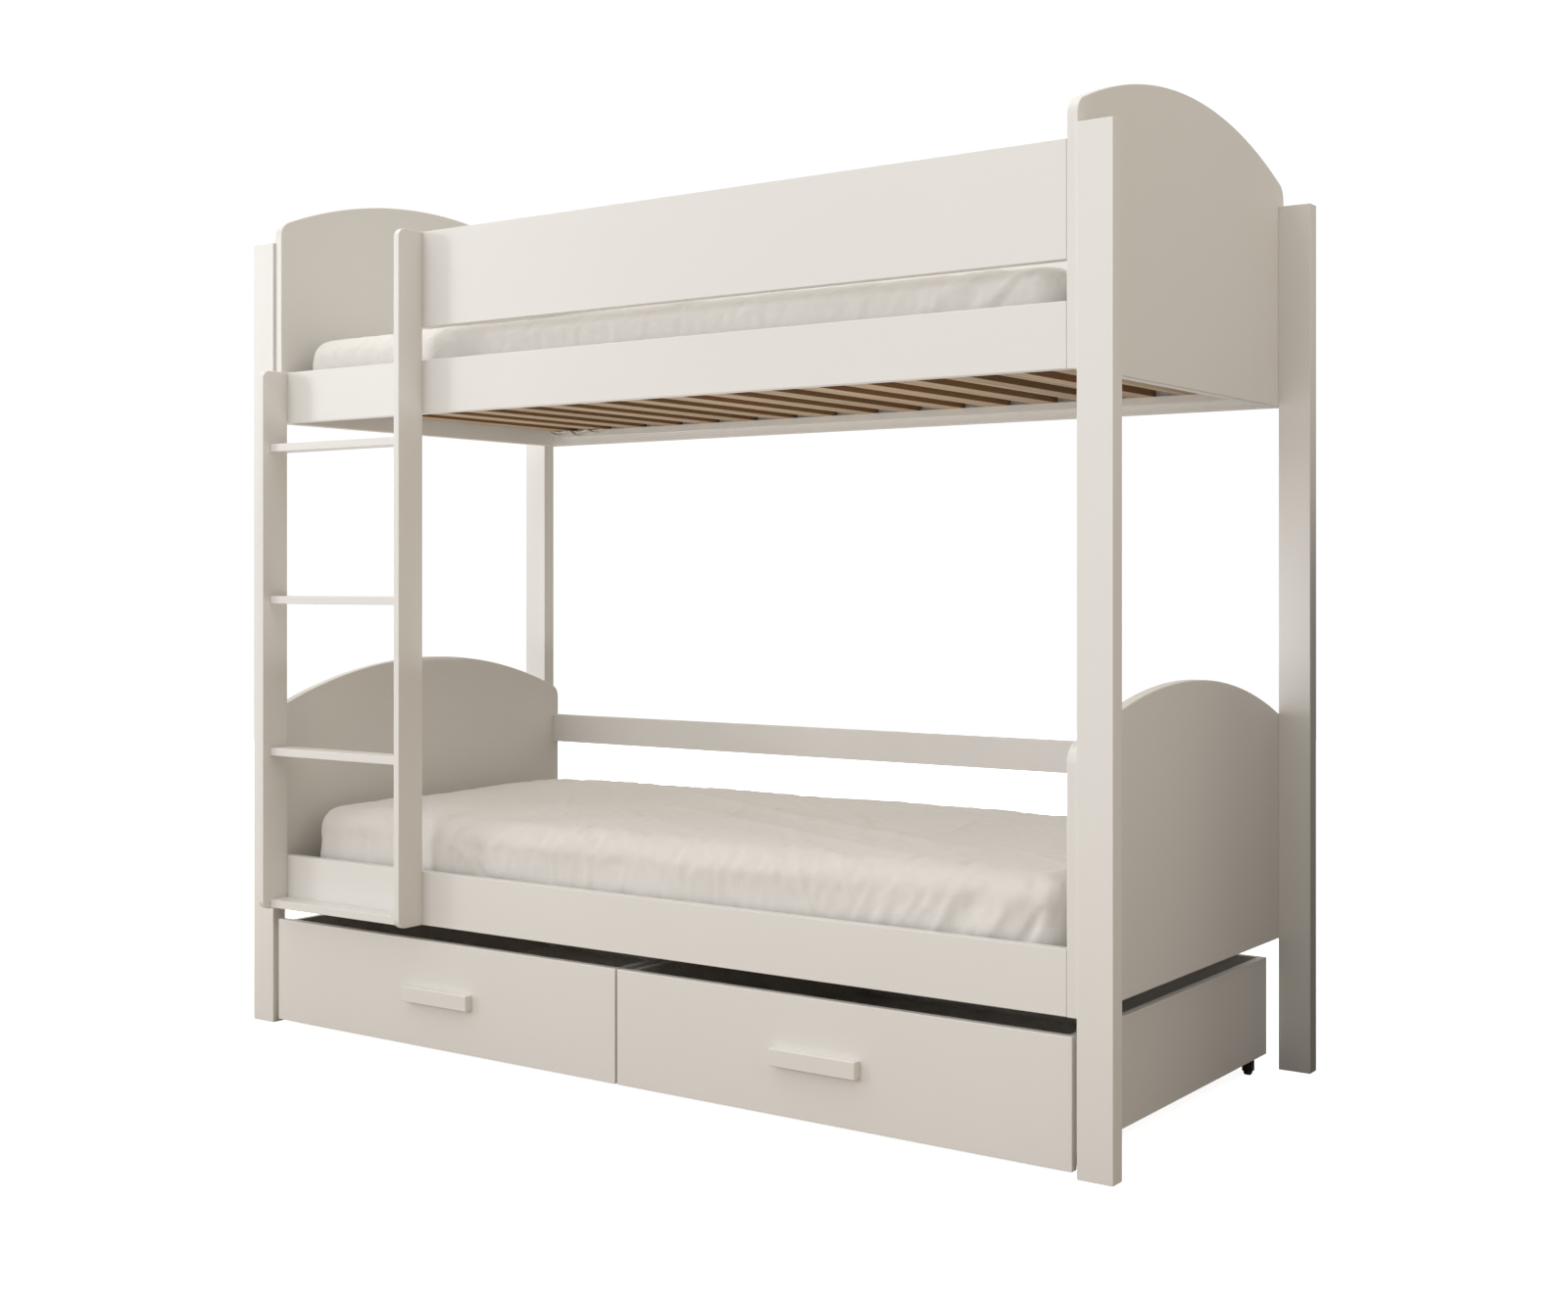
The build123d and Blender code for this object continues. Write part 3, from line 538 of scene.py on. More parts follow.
def woven(name, color, thread, slub, sheen):
    """Plain-woven cloth: threads crossing at thread metres, slubs, and soft tone changes."""
    material, tree, shader = new_material(name)
    place = add_node(tree, "ShaderNodeTexCoord").outputs["Object"]
    parts = add_node(tree, "ShaderNodeSeparateXYZ", i0=place).outputs
    turn = 2.0 * math.pi / thread
    across = maths(tree, "MULTIPLY", maths(tree, "ADD", parts[0], parts[1]), turn)
    along = maths(tree, "MULTIPLY", maths(tree, "ADD", parts[1], parts[2]), turn)
    weave = maths(tree, "MULTIPLY", maths(tree, "SINE", across), maths(tree, "SINE", along))
    weave = spread(tree, weave, low=0.0, high=1.0)
    threads = stretched(tree, (30.0, 260.0, 260.0))
    slubs = speckle(tree, threads, scale=1.0, detail=4.0, roughness=0.6)
    crumple = speckle(tree, place, scale=34.0, detail=5.0, roughness=0.6)
    dim = tuple(part * 0.93 for part in color)
    dark = tuple(part * 0.86 for part in color)
    shade = blend_colors(tree, spread(tree, crumple, low=0.0, high=0.8), color, dim)
    shade = blend_colors(tree, spread(tree, slubs, low=0.0, high=slub), shade, dark)
    tree.links.new(shade, shader.inputs["Base Color"])
    tree.links.new(spread(tree, slubs, low=0.82, high=0.95), shader.inputs["Roughness"])
    normal = bump(tree, crumple, depth=0.0022, strength=0.3)
    normal = bump(tree, slubs, depth=0.0005, strength=0.3, under=normal)
    normal = bump(tree, weave, depth=0.00018, strength=0.4, under=normal)
    tree.links.new(normal, shader.inputs["Normal"])
    shader.inputs["Sheen Weight"].default_value = sheen
    shader.inputs["Sheen Roughness"].default_value = 0.5
    shader.inputs["Specular IOR Level"].default_value = 0.25
    return material


def moulded_plastic(name):
    """Black moulded nylon: fine spark-eroded texture and scuffs."""
    material, tree, shader = new_material(name)
    place = stretched(tree, (1.0, 1.0, 1.0))
    grit = speckle(tree, place, scale=1400.0)
    scuff = speckle(tree, place, scale=90.0, detail=4.0, roughness=0.65)
    tree.links.new(
        ramp(tree, scuff, [(0.35, (0.012, 0.012, 0.013)), (0.8, (0.045, 0.043, 0.042))]),
        shader.inputs["Base Color"],
    )
    tree.links.new(spread(tree, scuff, low=0.34, high=0.62), shader.inputs["Roughness"])
    tree.links.new(bump(tree, grit, depth=0.0001, strength=0.5), shader.inputs["Normal"])
    return material


def plated_steel(name):
    """Zinc-plated steel: crystals of plating and fine turning marks."""
    material, tree, shader = new_material(name)
    place = stretched(tree, (1.0, 1.0, 1.0))
    crystals = add_node(tree, "ShaderNodeTexVoronoi", Vector=place, Scale=420.0).outputs["Color"]
    tone = add_node(tree, "ShaderNodeSeparateColor", i0=crystals).outputs[0]
    marks = speckle(tree, stretched(tree, (900.0, 900.0, 90.0)), scale=1.0)
    tree.links.new(
        ramp(tree, tone, [(0.0, (0.50, 0.50, 0.52)), (1.0, (0.68, 0.68, 0.69))]),
        shader.inputs["Base Color"],
    )
    tree.links.new(spread(tree, tone, low=0.24, high=0.42), shader.inputs["Roughness"])
    tree.links.new(bump(tree, marks, depth=0.00005, strength=0.4), shader.inputs["Normal"])
    shader.inputs["Metallic"].default_value = 1.0
    return material


def finish_nodes(names, material):
    """Gives CAD nodes a material."""
    for name in names:
        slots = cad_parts[name].data.materials
        slots.clear()
        slots.append(material)


def library(name, make, *given):
    """The material of that name, made on its first use."""
    return bpy.data.materials.get(name) or make(name, *given)


# ---------------------------------------------------------------- mattresses


def soft_block(name, low, high, rim, step):
    """A closed block with rounded rims and a slight crown, in even quads."""
    half = (high - low) / 2
    centre = (high + low) / 2
    counts = [max(2, round(2 * part / step)) for part in half]
    block = bmesh.new()
    for axis in range(3):
        first, second = [other for other in range(3) if other != axis]
        for side in (-1.0, 1.0):
            rows = []
            for i in range(counts[first] + 1):
                row = []
                for j in range(counts[second] + 1):
                    point = [0.0, 0.0, 0.0]
                    point[axis] = side * half[axis]
                    point[first] = (2.0 * i / counts[first] - 1.0) * half[first]
                    point[second] = (2.0 * j / counts[second] - 1.0) * half[second]
                    row.append(block.verts.new(point))
                rows.append(row)
            for i in range(counts[first]):
                for j in range(counts[second]):
                    block.faces.new((rows[i][j], rows[i + 1][j], rows[i + 1][j + 1], rows[i][j + 1]))
    bmesh.ops.remove_doubles(block, verts=block.verts, dist=step / 50.0)
    bmesh.ops.recalc_face_normals(block, faces=block.faces)
    inner = Vector(part - rim for part in half)
    for vert in block.verts:
        held = Vector(max(-i, min(i, c)) for i, c in zip(inner, vert.co))
        vert.co = held + (vert.co - held).normalized() * rim
        if vert.co.z > 0.0:
            edge_x = abs(vert.co.x / half.x) ** CROWN_POWER_X
            edge_y = abs(vert.co.y / half.y) ** CROWN_POWER_Y
            vert.co.z -= CROWN * (1.0 - (1.0 - edge_x) * (1.0 - edge_y)) * vert.co.z / half.z
        vert.co += centre
    mesh = bpy.data.meshes.new(name)
    block.to_mesh(mesh)
    block.free()
    piece = bpy.data.objects.new(name, mesh)
    bpy.context.scene.collection.objects.link(piece)
    return piece


def read_points(mesh):
    """The mesh's points as an array of rows."""
    points = np.zeros(len(mesh.vertices) * 3)
    mesh.vertices.foreach_get("co", points)
    return points.reshape(-1, 3)


def read_normals(mesh):
    """The mesh's vertex normals as an array of rows."""
    normals = np.zeros(len(mesh.vertices) * 3)
    mesh.vertices.foreach_get("normal", normals)
    return normals.reshape(-1, 3)


def write_points(mesh, points):
    """Puts points back in the mesh."""
    mesh.vertices.foreach_set("co", points.ravel())
    mesh.update()


def puff(piece, low, settings):
    """Fills the cover as cloth under pressure, with spare cloth that buckles."""
    mesh = piece.data
    before = read_points(mesh)
    held = piece.vertex_groups.new(name="held")
    resting = before[:, 2] < low.z + RESTING_HEIGHT
    held.add([int(i) for i in np.nonzero(resting)[0]], 1.0, "REPLACE")
    held.add([int(i) for i in np.nonzero(~resting)[0]], settings.grip, "REPLACE")
    cloth = piece.modifiers.new("cover", "CLOTH")
    cloth.settings.quality = CLOTH_QUALITY
    cloth.settings.mass = CLOTH_MASS
    cloth.settings.tension_stiffness = CLOTH_STIFFNESS
    cloth.settings.compression_stiffness = CLOTH_STIFFNESS
    cloth.settings.shear_stiffness = CLOTH_SHEAR
    cloth.settings.bending_stiffness = CLOTH_BENDING
    cloth.settings.vertex_group_mass = "held"
    cloth.settings.use_pressure = True
    cloth.settings.uniform_pressure_force = settings.pressure
    cloth.settings.shrink_min = -settings.spare
    cloth.settings.effector_weights.gravity = 0.0
    cloth.collision_settings.use_collision = False
    cloth.collision_settings.use_self_collision = False
    cloth.point_cache.frame_start = 1
    cloth.point_cache.frame_end = CLOTH_FRAMES
    scene = bpy.context.scene
    for number in range(1, CLOTH_FRAMES + 1):
        scene.frame_set(number)
    graph = bpy.context.evaluated_depsgraph_get()
    after = read_points(piece.evaluated_get(graph).data)
    piece.modifiers.remove(cloth)
    piece.vertex_groups.clear()
    scene.frame_set(1)
    move = after - before
    far = np.linalg.norm(move, axis=1, keepdims=True)
    if not np.isfinite(far).all():
        raise RuntimeError(f"{piece.name}: the cloth did not settle")
    write_points(mesh, before + move * np.minimum(1.0, settings.cap / np.maximum(far, 1e-9)))


def divide(piece):
    """One subdivision, applied."""
    piece.modifiers.new("divide", "SUBSURF").levels = 1
    graph = bpy.context.evaluated_depsgraph_get()
    finer = bpy.data.meshes.new_from_object(piece.evaluated_get(graph))
    piece.modifiers.clear()
    piece.data = finer


def crease(across, along, start, end, width, height, bow=0.0):
    """Height of one crease between two points of a flat face, fading towards its ends."""
    run = np.subtract(end, start)
    length = float(np.hypot(*run))
    ahead = run / length
    du, dv = across - start[0], along - start[1]
    s = (du * ahead[0] + dv * ahead[1]) / length
    fade = np.clip(4.0 * s * (1.0 - s), 0.0, 1.0) ** 0.7
    off = du * -ahead[1] + dv * ahead[0] - bow * np.clip(4.0 * s * (1.0 - s), 0.0, 1.0)
    return height * fade * np.exp(-((off / width) ** 2))


def rumple(points, normals, low, high, seed, pulls):
    """Moves the cover's points out along its creases: fine slanting ones on the long sides,
    long soft folds over the top, and the pulls given."""
    draw = random.Random(seed)
    lift = np.zeros(len(points))
    x, y, z = points.T
    top = np.clip((normals[:, 2] - 0.35) / 0.4, 0.0, 1.0)
    for facing in (-1.0, 1.0):
        side = np.clip((facing * normals[:, 1] - 0.25) / 0.45, 0.0, 1.0)
        place = low.x + CREASE_MARGIN
        while place < high.x - CREASE_MARGIN:
            way = -1.0 if place > high.x - TURNED_STRETCH else 1.0
            lean = draw.uniform(*SIDE_CREASE_LEAN) * way
            tall = draw.uniform(*SIDE_CREASE_TALL) * (high.z - low.z)
            head = high.z - draw.uniform(*SIDE_CREASE_DROP)
            start, end = (place, head), (place + lean * tall, head - tall)
            height = draw.uniform(*SIDE_CREASE_HEIGHT)
            width = draw.uniform(*SIDE_CREASE_WIDTH)
            lift += side * crease(x, z, start, end, width, height, SIDE_CREASE_BOW)
            place += draw.uniform(*SIDE_CREASE_GAP)
    for _ in range(TOP_FOLDS):
        start = (draw.uniform(low.x, high.x), draw.uniform(low.y, high.y))
        heading = draw.gauss(*TOP_FOLD_HEADING)
        reach = draw.uniform(*TOP_FOLD_REACH)
        end = (start[0] + reach * math.cos(heading), start[1] + reach * math.sin(heading))
        width, height = draw.uniform(*TOP_FOLD_WIDTH), draw.uniform(*TOP_FOLD_HEIGHT)
        lift += top * crease(x, y, start, end, width, height)
    for face, start, end, width, height, bow in pulls:
        mask = top if face == "top" else np.clip((-normals[:, 1] - 0.1) / 0.4, 0.0, 1.0)
        other = y if face == "top" else z
        lift += mask * crease(x, other, start, end, width, height, bow)
    soft = np.array([noise.noise(Vector(place)) for place in points * SOFT_WAVES])
    lift += SOFT_HEIGHT * soft * (1.0 - np.clip(-normals[:, 2], 0.0, 1.0))
    return points + normals * lift[:, None]


def make_mattress(level, pulls, seed, short=0.0):
    """One mattress in its cover: puffed, divided, creased, and kept in its space. Its ladder
    end stops short of the mattress space's."""
    settings = bpy.context.scene.bunk_bed.mattress
    low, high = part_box(f"{level}_mattress")
    start_low = low + Vector((END_GAP + short, SIDE_GAP, FOOT_GAP))
    start_high = high - Vector((END_GAP, SIDE_GAP, TOP_GAP))
    piece = soft_block(f"{level}_mattress_cover", start_low, start_high, settings.rim, settings.step)
    puff(piece, low, settings)
    divide(piece)
    mesh = piece.data
    points = rumple(read_points(mesh), read_normals(mesh), low, high, seed, pulls)
    least = low - Vector((END_SWELL, SIDE_SWELL, -FOOT_LIFT))
    most = high + Vector((END_SWELL, SIDE_SWELL, TOP_SWELL))
    write_points(mesh, np.clip(points, np.array(least), np.array(most)))
    mesh.shade_smooth()
    thread, slub, sheen = 0.0016, 0.35, 0.25
    material = library("off_white_cotton", woven, tuple(settings.color), thread, slub, sheen)
    mesh.materials.clear()
    mesh.materials.append(material)
    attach(piece, "bed_frame")
    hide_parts(f"{level}_mattress")
    return piece


# ---------------------------------------------------------------- tape loops


def ribbon(name, line, width, thickness):
    """A flat tape that follows line, with its width along Y."""
    curve = bpy.data.curves.new(name, "CURVE")
    curve.dimensions = "3D"
    curve.resolution_u = CURVE_STEPS
    spline = curve.splines.new("NURBS")
    spline.points.add(len(line) - 1)
    for point, place in zip(spline.points, line):
        point.co = (*place, 1.0)
    spline.order_u = 4
    spline.use_endpoint_u = True
    holder = bpy.data.objects.new(name, curve)
    bpy.context.scene.collection.objects.link(holder)
    graph = bpy.context.evaluated_depsgraph_get()
    centre = bpy.data.meshes.new_from_object(holder.evaluated_get(graph))
    path = [vert.co.copy() for vert in centre.vertices]
    bpy.data.objects.remove(holder)
    tape = bmesh.new()
    rows = []
    for number, place in enumerate(path):
        ahead = path[min(number + 1, len(path) - 1)] - path[max(number - 1, 0)]
        out = Vector((0.0, 1.0, 0.0)).cross(ahead.normalized()) * thickness / 2
        half = Vector((0.0, width / 2, 0.0))
        corners = (place - half - out, place + half - out, place + half + out, place - half + out)
        rows.append([tape.verts.new(corner) for corner in corners])
    for first, second in zip(rows, rows[1:]):
        for j in range(4):
            k = (j + 1) % 4
            tape.faces.new((first[j], first[k], second[k], second[j]))
    tape.faces.new(rows[0][::-1])
    tape.faces.new(rows[-1])
    bmesh.ops.recalc_face_normals(tape, faces=tape.faces)
    mesh = bpy.data.meshes.new(name)
    tape.to_mesh(mesh)
    tape.free()
    piece = bpy.data.objects.new(name, mesh)
    bpy.context.scene.collection.objects.link(piece)
    return piece


# ---------------------------------------------------------------- operators


class BUNKBED_OT_stage(bpy.types.Operator):
    """Floor, studio light and camera"""

    bl_idname = "bunkbed.stage"
    bl_label = "Stage"

    def execute(self, context):
        settings = context.scene.bunk_bed.stage
        context.scene.view_settings.view_transform = "Standard"
        self.make_camera(context, settings)
        self.make_floor(context)
        self.make_bounce(context)
        self.make_flag(context)
        self.make_room(context, settings)
        self.make_lights(context, settings)
        return {"FINISHED"}

    def make_camera(self, context, settings):
        data = bpy.data.cameras.new("camera")
        data.lens = settings.lens
        data.shift_y = settings.shift
        camera = bpy.data.objects.new("camera", data)
        camera.location = settings.place
        camera.rotation_euler = Euler((math.pi / 2, 0.0, settings.turn))
        context.scene.collection.objects.link(camera)
        context.scene.camera = camera

    def add_sheet(self, context, name, mesh):
        """A flat sheet of the stage."""
        sheet = bpy.data.objects.new(name, mesh)
        context.scene.collection.objects.link(sheet)
        return sheet

    def make_disc(self, context, name, radius):
        mesh = bpy.data.meshes.new(name)
        disc = bmesh.new()
        bmesh.ops.create_circle(disc, cap_ends=True, segments=96, radius=radius)
        disc.to_mesh(mesh)
        disc.free()
        return self.add_sheet(context, name, mesh)

    def make_floor(self, context):
        """A pale floor to look at. It is clear from below, so that the underside can be seen."""
        floor = self.make_disc(context, "floor", FLOOR_RADIUS)
        floor.location.z = CAD_LOW.z
        for kind in ("diffuse", "glossy", "shadow"):
            setattr(floor, f"visible_{kind}", False)
        material, tree, shader = new_material("pale_floor")
        place = add_node(tree, "ShaderNodeTexCoord").outputs["Object"]
        far = add_node(tree, "ShaderNodeVectorMath", {"operation": "LENGTH"}, i0=place)
        fade = add_node(tree, "ShaderNodeMapRange", i0=far.outputs["Value"])
        fade.inputs["From Min"].default_value = 1.2
        fade.inputs["From Max"].default_value = 4.5
        grain = speckle(tree, place, scale=60.0, detail=4.0)
        pale = ramp(tree, grain, [(0.0, (0.80, 0.80, 0.79)), (1.0, (0.86, 0.86, 0.85))])
        tree.links.new(pale, shader.inputs["Base Color"])
        shader.inputs["Roughness"].default_value = 0.9
        shader.inputs["Emission Color"].default_value = (1.0, 1.0, 1.0, 1.0)
        away = maths(tree, "MULTIPLY", fade.outputs[0], FLOOR_GLOW_FAR)
        glow = maths(tree, "ADD", away, FLOOR_GLOW)
        tree.links.new(glow, shader.inputs["Emission Strength"])
        clear = add_node(tree, "ShaderNodeBsdfTransparent").outputs[0]
        under = add_node(tree, "ShaderNodeNewGeometry").outputs["Backfacing"]
        seen = add_node(tree, "ShaderNodeMixShader", i0=under, i1=shader.outputs[0], i2=clear)
        tree.links.new(seen.outputs[0], tree.nodes["Material Output"].inputs["Surface"])
        floor.data.materials.append(material)

    def make_bounce(self, context):
        """A warm floor just under the pale one, out of sight, that throws light back up."""
        bounce = self.make_disc(context, "floor_bounce", BOUNCE_RADIUS)
        bounce.location.z = CAD_LOW.z - BOUNCE_DROP
        bounce.visible_camera = False
        material, tree, shader = new_material("warm_floor")
        place = add_node(tree, "ShaderNodeTexCoord").outputs["Object"]
        tones = [(0.0, (0.38, 0.315, 0.24)), (1.0, (0.48, 0.40, 0.315))]
        boards = ramp(tree, speckle(tree, place, scale=3.0), tones)
        # Painted shade: the floor's colour is darkened towards the rear right, where the bed's shadow
        # falls.
        parts = add_node(tree, "ShaderNodeSeparateXYZ", i0=place).outputs
        dim = add_node(tree, "ShaderNodeMapRange", i0=maths(tree, "ADD", parts[0], parts[1]))
        dim.inputs["From Min"].default_value = 0.3
        dim.inputs["From Max"].default_value = 1.6
        boards = blend_colors(tree, dim.outputs[0], boards, (0.05, 0.04, 0.03))
        tree.links.new(boards, shader.inputs["Base Color"])
        shader.inputs["Roughness"].default_value = 0.8
        bounce.data.materials.append(material)

    def make_flag(self, context):
        """A black flag behind the right end, out of sight, that keeps the low rear dim."""
        mesh = bpy.data.meshes.new("flag")
        (near, far), (foot, head) = FLAG_Y, FLAG_Z
        corners = [(FLAG_X, y, z) for y, z in ((near, foot), (far, foot), (far, head), (near, head))]
        mesh.from_pydata(corners, [], [(0, 1, 2, 3)])
        flag = self.add_sheet(context, "flag", mesh)
        flag.visible_camera = False
        material, tree, shader = new_material("black_cloth")
        weave = speckle(tree, stretched(tree, (40.0, 40.0, 40.0)), scale=1.0)
        dark = ramp(tree, weave, [(0.0, (0.012, 0.012, 0.012)), (1.0, (0.03, 0.028, 0.026))])
        tree.links.new(dark, shader.inputs["Base Color"])
        shader.inputs["Roughness"].default_value = 0.95
        mesh.materials.append(material)

    def make_room(self, context, settings):
        """White to look at. As light, it has its own strength and colour from each side."""
        world = bpy.data.worlds.new("studio")
        world.use_nodes = True
        context.scene.world = world
        tree = world.node_tree
        tree.nodes.clear()
        heading = add_node(tree, "ShaderNodeTexCoord").outputs["Generated"]
        parts = add_node(tree, "ShaderNodeSeparateXYZ", i0=heading).outputs
        total = (0.0, 0.0, 0.0)
        for axis, sign, upper, strength in ROOM_LIGHT:
            toward = maths(tree, "MAXIMUM", maths(tree, "MULTIPLY", parts[axis], sign), 0.0)
            half = maths(tree, "GREATER_THAN" if upper else "LESS_THAN", parts[2], 0.0)
            part = maths(tree, "MULTIPLY", toward, half)
            tinted = add_node(
                tree, "ShaderNodeVectorMath", {"operation": "SCALE"}, i0=strength, Scale=part
            ).outputs[0]
            total = add_node(
                tree, "ShaderNodeVectorMath", {"operation": "ADD"}, i0=tinted, i1=total
            ).outputs[0]
        wall = add_node(tree, "ShaderNodeBackground", Color=total, Strength=settings.room)
        plain = add_node(tree, "ShaderNodeBackground", Strength=BACKDROP_STRENGTH)
        plain.inputs["Color"].default_value = (1.0, 1.0, 1.0, 1.0)
        rays = add_node(tree, "ShaderNodeLightPath").outputs["Is Camera Ray"]
        mixed = add_node(tree, "ShaderNodeMixShader", i0=rays, i1=wall.outputs[0], i2=plain.outputs[0])
        output = add_node(tree, "ShaderNodeOutputWorld")
        tree.links.new(mixed.outputs[0], output.inputs["Surface"])

    def add_lamp(self, context, name, shape, size, power, color):
        data = bpy.data.lights.new(name, "AREA")
        data.shape = shape
        data.size, data.size_y = size
        data.energy = power
        data.color = color
        lamp = bpy.data.objects.new(name, data)
        lamp.visible_camera = False
        context.scene.collection.objects.link(lamp)
        return lamp

    def make_lights(self, context, settings):
        middle = (CAD_LOW + CAD_HIGH) / 2
        powers = (settings.key, settings.front, settings.top, settings.fill)
        for (name, toward, distance, size, color), power in zip(LAMPS, powers):
            lamp = self.add_lamp(context, name, "DISK", (size, size), power, color)
            heading = Vector(toward).normalized()
            lamp.location = middle + heading * distance
            lamp.rotation_euler = heading.to_track_quat("Z", "Y").to_euler()
        low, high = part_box("lower_mattress")
        size = (high.x - low.x, high.y - low.y)
        lamp = self.add_lamp(
            context, "under_light", "RECTANGLE", size, settings.under, UNDER_LIGHT_COLOR
        )
        lamp.location = (low + high) / 2
        lamp.location.z = high.z + UNDER_LIGHT_RISE
        lamp.rotation_euler = (math.pi, 0.0, 0.0)


class BUNKBED_OT_boards(bpy.types.Operator):
    """Lacquer on the posts, panels, rails, guards, ladder and ledgers"""

    bl_idname = "bunkbed.boards"
    bl_label = "Boards"

    def execute(self, context):
        settings = context.scene.bunk_bed.lacquer
        finish_nodes(UP_BOARDS, library("lacquer_upright", lacquer, UPRIGHT_GRAIN, settings))
        finish_nodes(PANELS, library("lacquer_panel", lacquer, PANEL_GRAIN, settings))
        finish_nodes(LONG_BOARDS, library("lacquer_long", lacquer, LONG_GRAIN, settings))
        return {"FINISHED"}


class BUNKBED_OT_slats(bpy.types.Operator):
    """Wood of the slats, their tapes, and the loose loops under the first upper slats"""

    bl_idname = "bunkbed.slats"
    bl_label = "Slats and tapes"

    def execute(self, context):
        settings = context.scene.bunk_bed.slats
        # The second colour is painted shade for the slats' sides, which lie in shade in the narrow gaps
        # between slats.
        grain, painted_side_shade = (26.0, 1.4, 60.0), (0.19, 0.10, 0.04)
        light, dark = tuple(settings.light), tuple(settings.dark)
        wood = library("softwood", planed_wood, light, dark, grain, SLAT_PITCH, painted_side_shade)
        finish_nodes([f"{level}_slats" for level in LEVELS], wood)
        thread, slub, sheen = 0.0022, 0.5, 0.1
        tape = library("tape_weave", woven, (0.78, 0.76, 0.70), thread, slub, sheen)
        finish_nodes([f"{level}_slat_tapes" for level in LEVELS], tape)
        low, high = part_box("upper_slats")
        reach, under = high.y - LOOP_REACH, low.z - LOOP_DROP
        for number, (start, end, hang) in enumerate(TAPE_LOOPS):
            line = [
                (start + (end - start) * along, reach, under - hang * down)
                for along, down in LOOP_LINE
            ]
            loop = ribbon(f"slat_tape_loop_{number + 1}", line, TAPE_WIDTH, TAPE_THICKNESS)
            loop.data.materials.append(tape)
            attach(loop, "bed_frame")
        return {"FINISHED"}


class BUNKBED_OT_lower_mattress(bpy.types.Operator):
    """The lower mattress, with its diagonal ridge and its pull beside the ladder"""

    bl_idname = "bunkbed.lower_mattress"
    bl_label = "Lower mattress"

    def execute(self, context):
        pulls = [
            ("top", (-0.50, 0.34), (0.74, -0.23), 0.030, 0.0070, -0.05),
            ("top", (-0.23, 0.02), (0.70, -0.35), 0.026, 0.0045, -0.02),
            ("top", (-0.10, 0.13), (0.04, -0.15), 0.007, 0.0022, 0.01),
            ("top", (-0.02, 0.15), (0.10, -0.05), 0.007, 0.0022, 0.0),
            ("side", (-0.51, 0.45), (-0.43, 0.40), 0.010, 0.0045, 0.01),
            ("side", (-0.47, 0.50), (-0.41, 0.37), 0.022, -0.0075, 0.01),
            ("side", (-0.39, 0.46), (-0.35, 0.38), 0.010, 0.0045, 0.0),
            ("side", (-0.44, 0.42), (-0.38, 0.37), 0.007, -0.0040, 0.0),
            ("side", (-0.81, 0.46), (-0.74, 0.39), 0.018, -0.0050, 0.01),
            ("side", (0.15, 0.48), (0.22, 0.39), 0.005, 0.0020, 0.0),
            ("side", (0.33, 0.475), (0.40, 0.39), 0.005, 0.0020, 0.0),
            ("side", (0.40, 0.51), (0.46, 0.38), 0.005, 0.0026, 0.0),
            ("side", (0.49, 0.51), (0.55, 0.42), 0.005, 0.0018, 0.0),
            ("side", (0.91, 0.49), (0.81, 0.38), 0.024, 0.0060, 0.0),
            ("side", (0.84, 0.48), (0.74, 0.38), 0.020, -0.0050, 0.0),
            ("side", (0.96, 0.50), (0.93, 0.42), 0.016, 0.0060, 0.0),
            ("side", (0.94, 0.45), (0.89, 0.37), 0.010, -0.0090, 0.0),
        ]
        make_mattress("lower", pulls, seed=11, short=LOWER_SHORTENED)
        return {"FINISHED"}


class BUNKBED_OT_upper_mattress(bpy.types.Operator):
    """The upper mattress, with its folds at the right end"""

    bl_idname = "bunkbed.upper_mattress"
    bl_label = "Upper mattress"

    def execute(self, context):
        pulls = [
            ("side", (0.93, 1.58), (0.80, 1.50), 0.014, 0.005, 0.0),
            ("side", (0.82, 1.58), (0.68, 1.50), 0.016, 0.004, 0.0),
            ("side", (0.90, 1.56), (0.84, 1.49), 0.010, -0.004, 0.0),
            ("top", (0.85, -0.38), (0.60, -0.10), 0.022, 0.005, 0.0),
        ]
        make_mattress("upper", pulls, seed=23)
        return {"FINISHED"}


class BUNKBED_OT_drawers(bpy.types.Operator):
    """Lacquer on the drawers and their handles"""

    bl_idname = "bunkbed.drawers"
    bl_label = "Drawers"

    def execute(self, context):
        settings = context.scene.bunk_bed.lacquer
        long = library("lacquer_long", lacquer, LONG_GRAIN, settings)
        deep = library("lacquer_deep", lacquer, DEEP_GRAIN, settings)
        for side in SIDES:
            drawer = f"drawer_{side}_"
            finish_nodes([drawer + part for part in ("front", "back", "handle")], long)
            finish_nodes([drawer + part for part in ("side_left", "side_right", "bottom")], deep)
        return {"FINISHED"}


class BUNKBED_OT_casters(bpy.types.Operator):
    """Black nylon of the casters and the steel of their axles"""

    bl_idname = "bunkbed.casters"
    bl_label = "Casters"

    def execute(self, context):
        nylon = library("black_nylon", moulded_plastic)
        steel = library("zinc_plated_steel", plated_steel)
        for side in SIDES:
            drawer = f"drawer_{side}_"
            finish_nodes([drawer + p for p in ("caster_brackets", "wheels_front", "wheels_rear")], nylon)
            finish_nodes([drawer + "caster_axles"], steel)
        return {"FINISHED"}


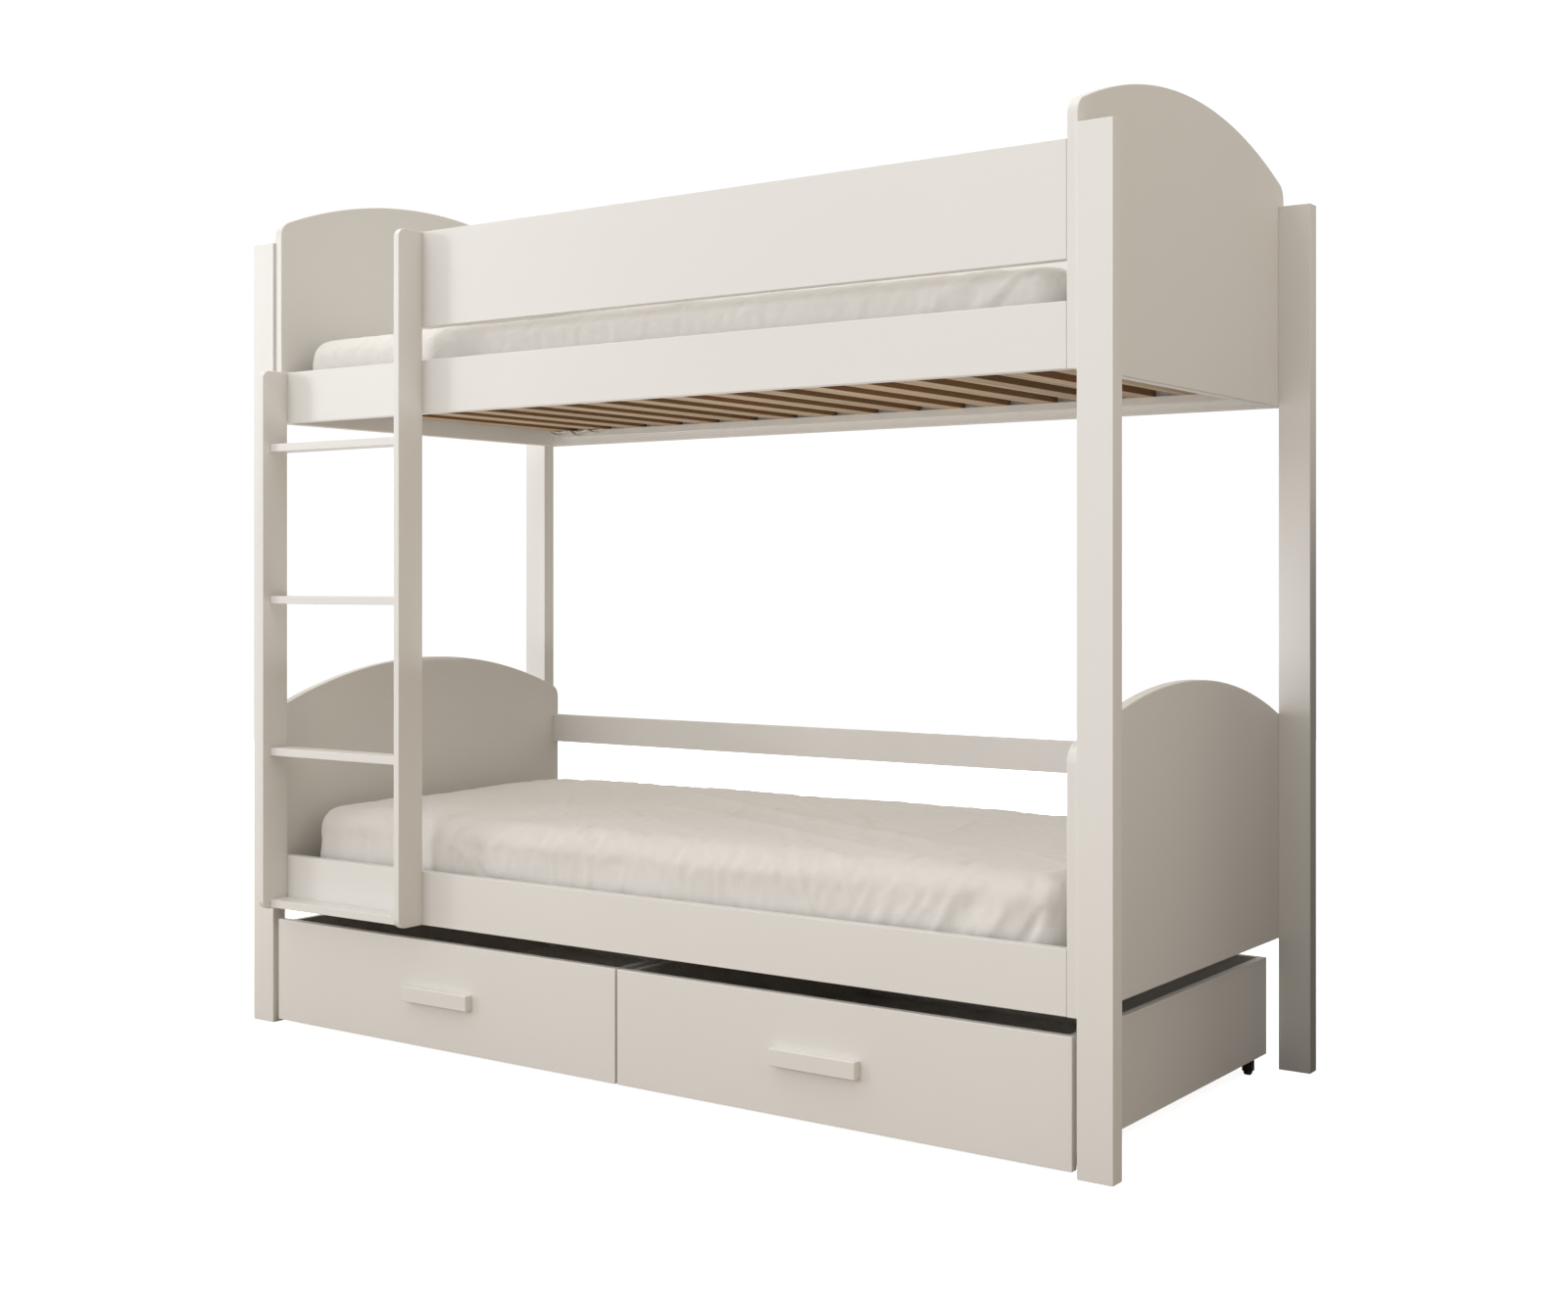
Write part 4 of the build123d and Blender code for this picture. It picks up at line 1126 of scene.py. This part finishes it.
class BUNKBED_OT_fastenings(bpy.types.Operator):
    """Steel of the cams and screws, lacquer over the ledgers' screws, and the dowels' beech"""

    bl_idname = "bunkbed.fastenings"
    bl_label = "Fastenings"

    def execute(self, context):
        steel = library("zinc_plated_steel", plated_steel)
        painted = library("lacquer_long", lacquer, LONG_GRAIN, context.scene.bunk_bed.lacquer)
        light, dark, grain = (0.60, 0.42, 0.26), (0.44, 0.29, 0.16), (60.0, 60.0, 60.0)
        beech = library("beech", planed_wood, light, dark, grain, DOWEL_PITCH)
        finish_nodes(["cam_screws", "cam_locks", "ladder_screws"], steel)
        finish_nodes(["ledger_screws"], painted)
        finish_nodes([f"drawer_{side}_handle_screws" for side in SIDES], steel)
        finish_nodes(["frame_dowels"] + [f"drawer_{side}_dowels" for side in SIDES], beech)
        return {"FINISHED"}


class BUNKBED_PT_pieces(bpy.types.Panel):
    """The bunk bed's pieces"""

    bl_idname = "BUNKBED_PT_pieces"
    bl_label = "Bunk bed"
    bl_space_type = "VIEW_3D"
    bl_region_type = "UI"
    bl_category = "Bunk bed"

    def draw(self, context):
        for operator in OPERATORS:
            self.layout.operator(operator.bl_idname)


OPERATORS = (
    BUNKBED_OT_stage,
    BUNKBED_OT_boards,
    BUNKBED_OT_slats,
    BUNKBED_OT_lower_mattress,
    BUNKBED_OT_upper_mattress,
    BUNKBED_OT_drawers,
    BUNKBED_OT_casters,
    BUNKBED_OT_fastenings,
)
GROUPS = (LacquerSettings, SlatSettings, MattressSettings, StageSettings, BunkBedSettings)


def register():
    """Registers the classes and hangs the settings on the scene."""
    for part in GROUPS + OPERATORS + (BUNKBED_PT_pieces,):
        bpy.utils.register_class(part)
    bpy.types.Scene.bunk_bed = bpy.props.PointerProperty(
        type=BunkBedSettings, name="Bunk bed", description="Settings of the bunk bed"
    )


def unregister():
    """Takes the settings and the classes away again."""
    del bpy.types.Scene.bunk_bed
    for part in reversed(GROUPS + OPERATORS + (BUNKBED_PT_pieces,)):
        bpy.utils.unregister_class(part)


def main():
    """Makes every piece."""
    register()
    bpy.ops.bunkbed.stage()
    bpy.ops.bunkbed.boards()
    bpy.ops.bunkbed.slats()
    bpy.ops.bunkbed.lower_mattress()
    bpy.ops.bunkbed.upper_mattress()
    bpy.ops.bunkbed.drawers()
    bpy.ops.bunkbed.casters()
    bpy.ops.bunkbed.fastenings()


if __name__ == "__main__":
    main()
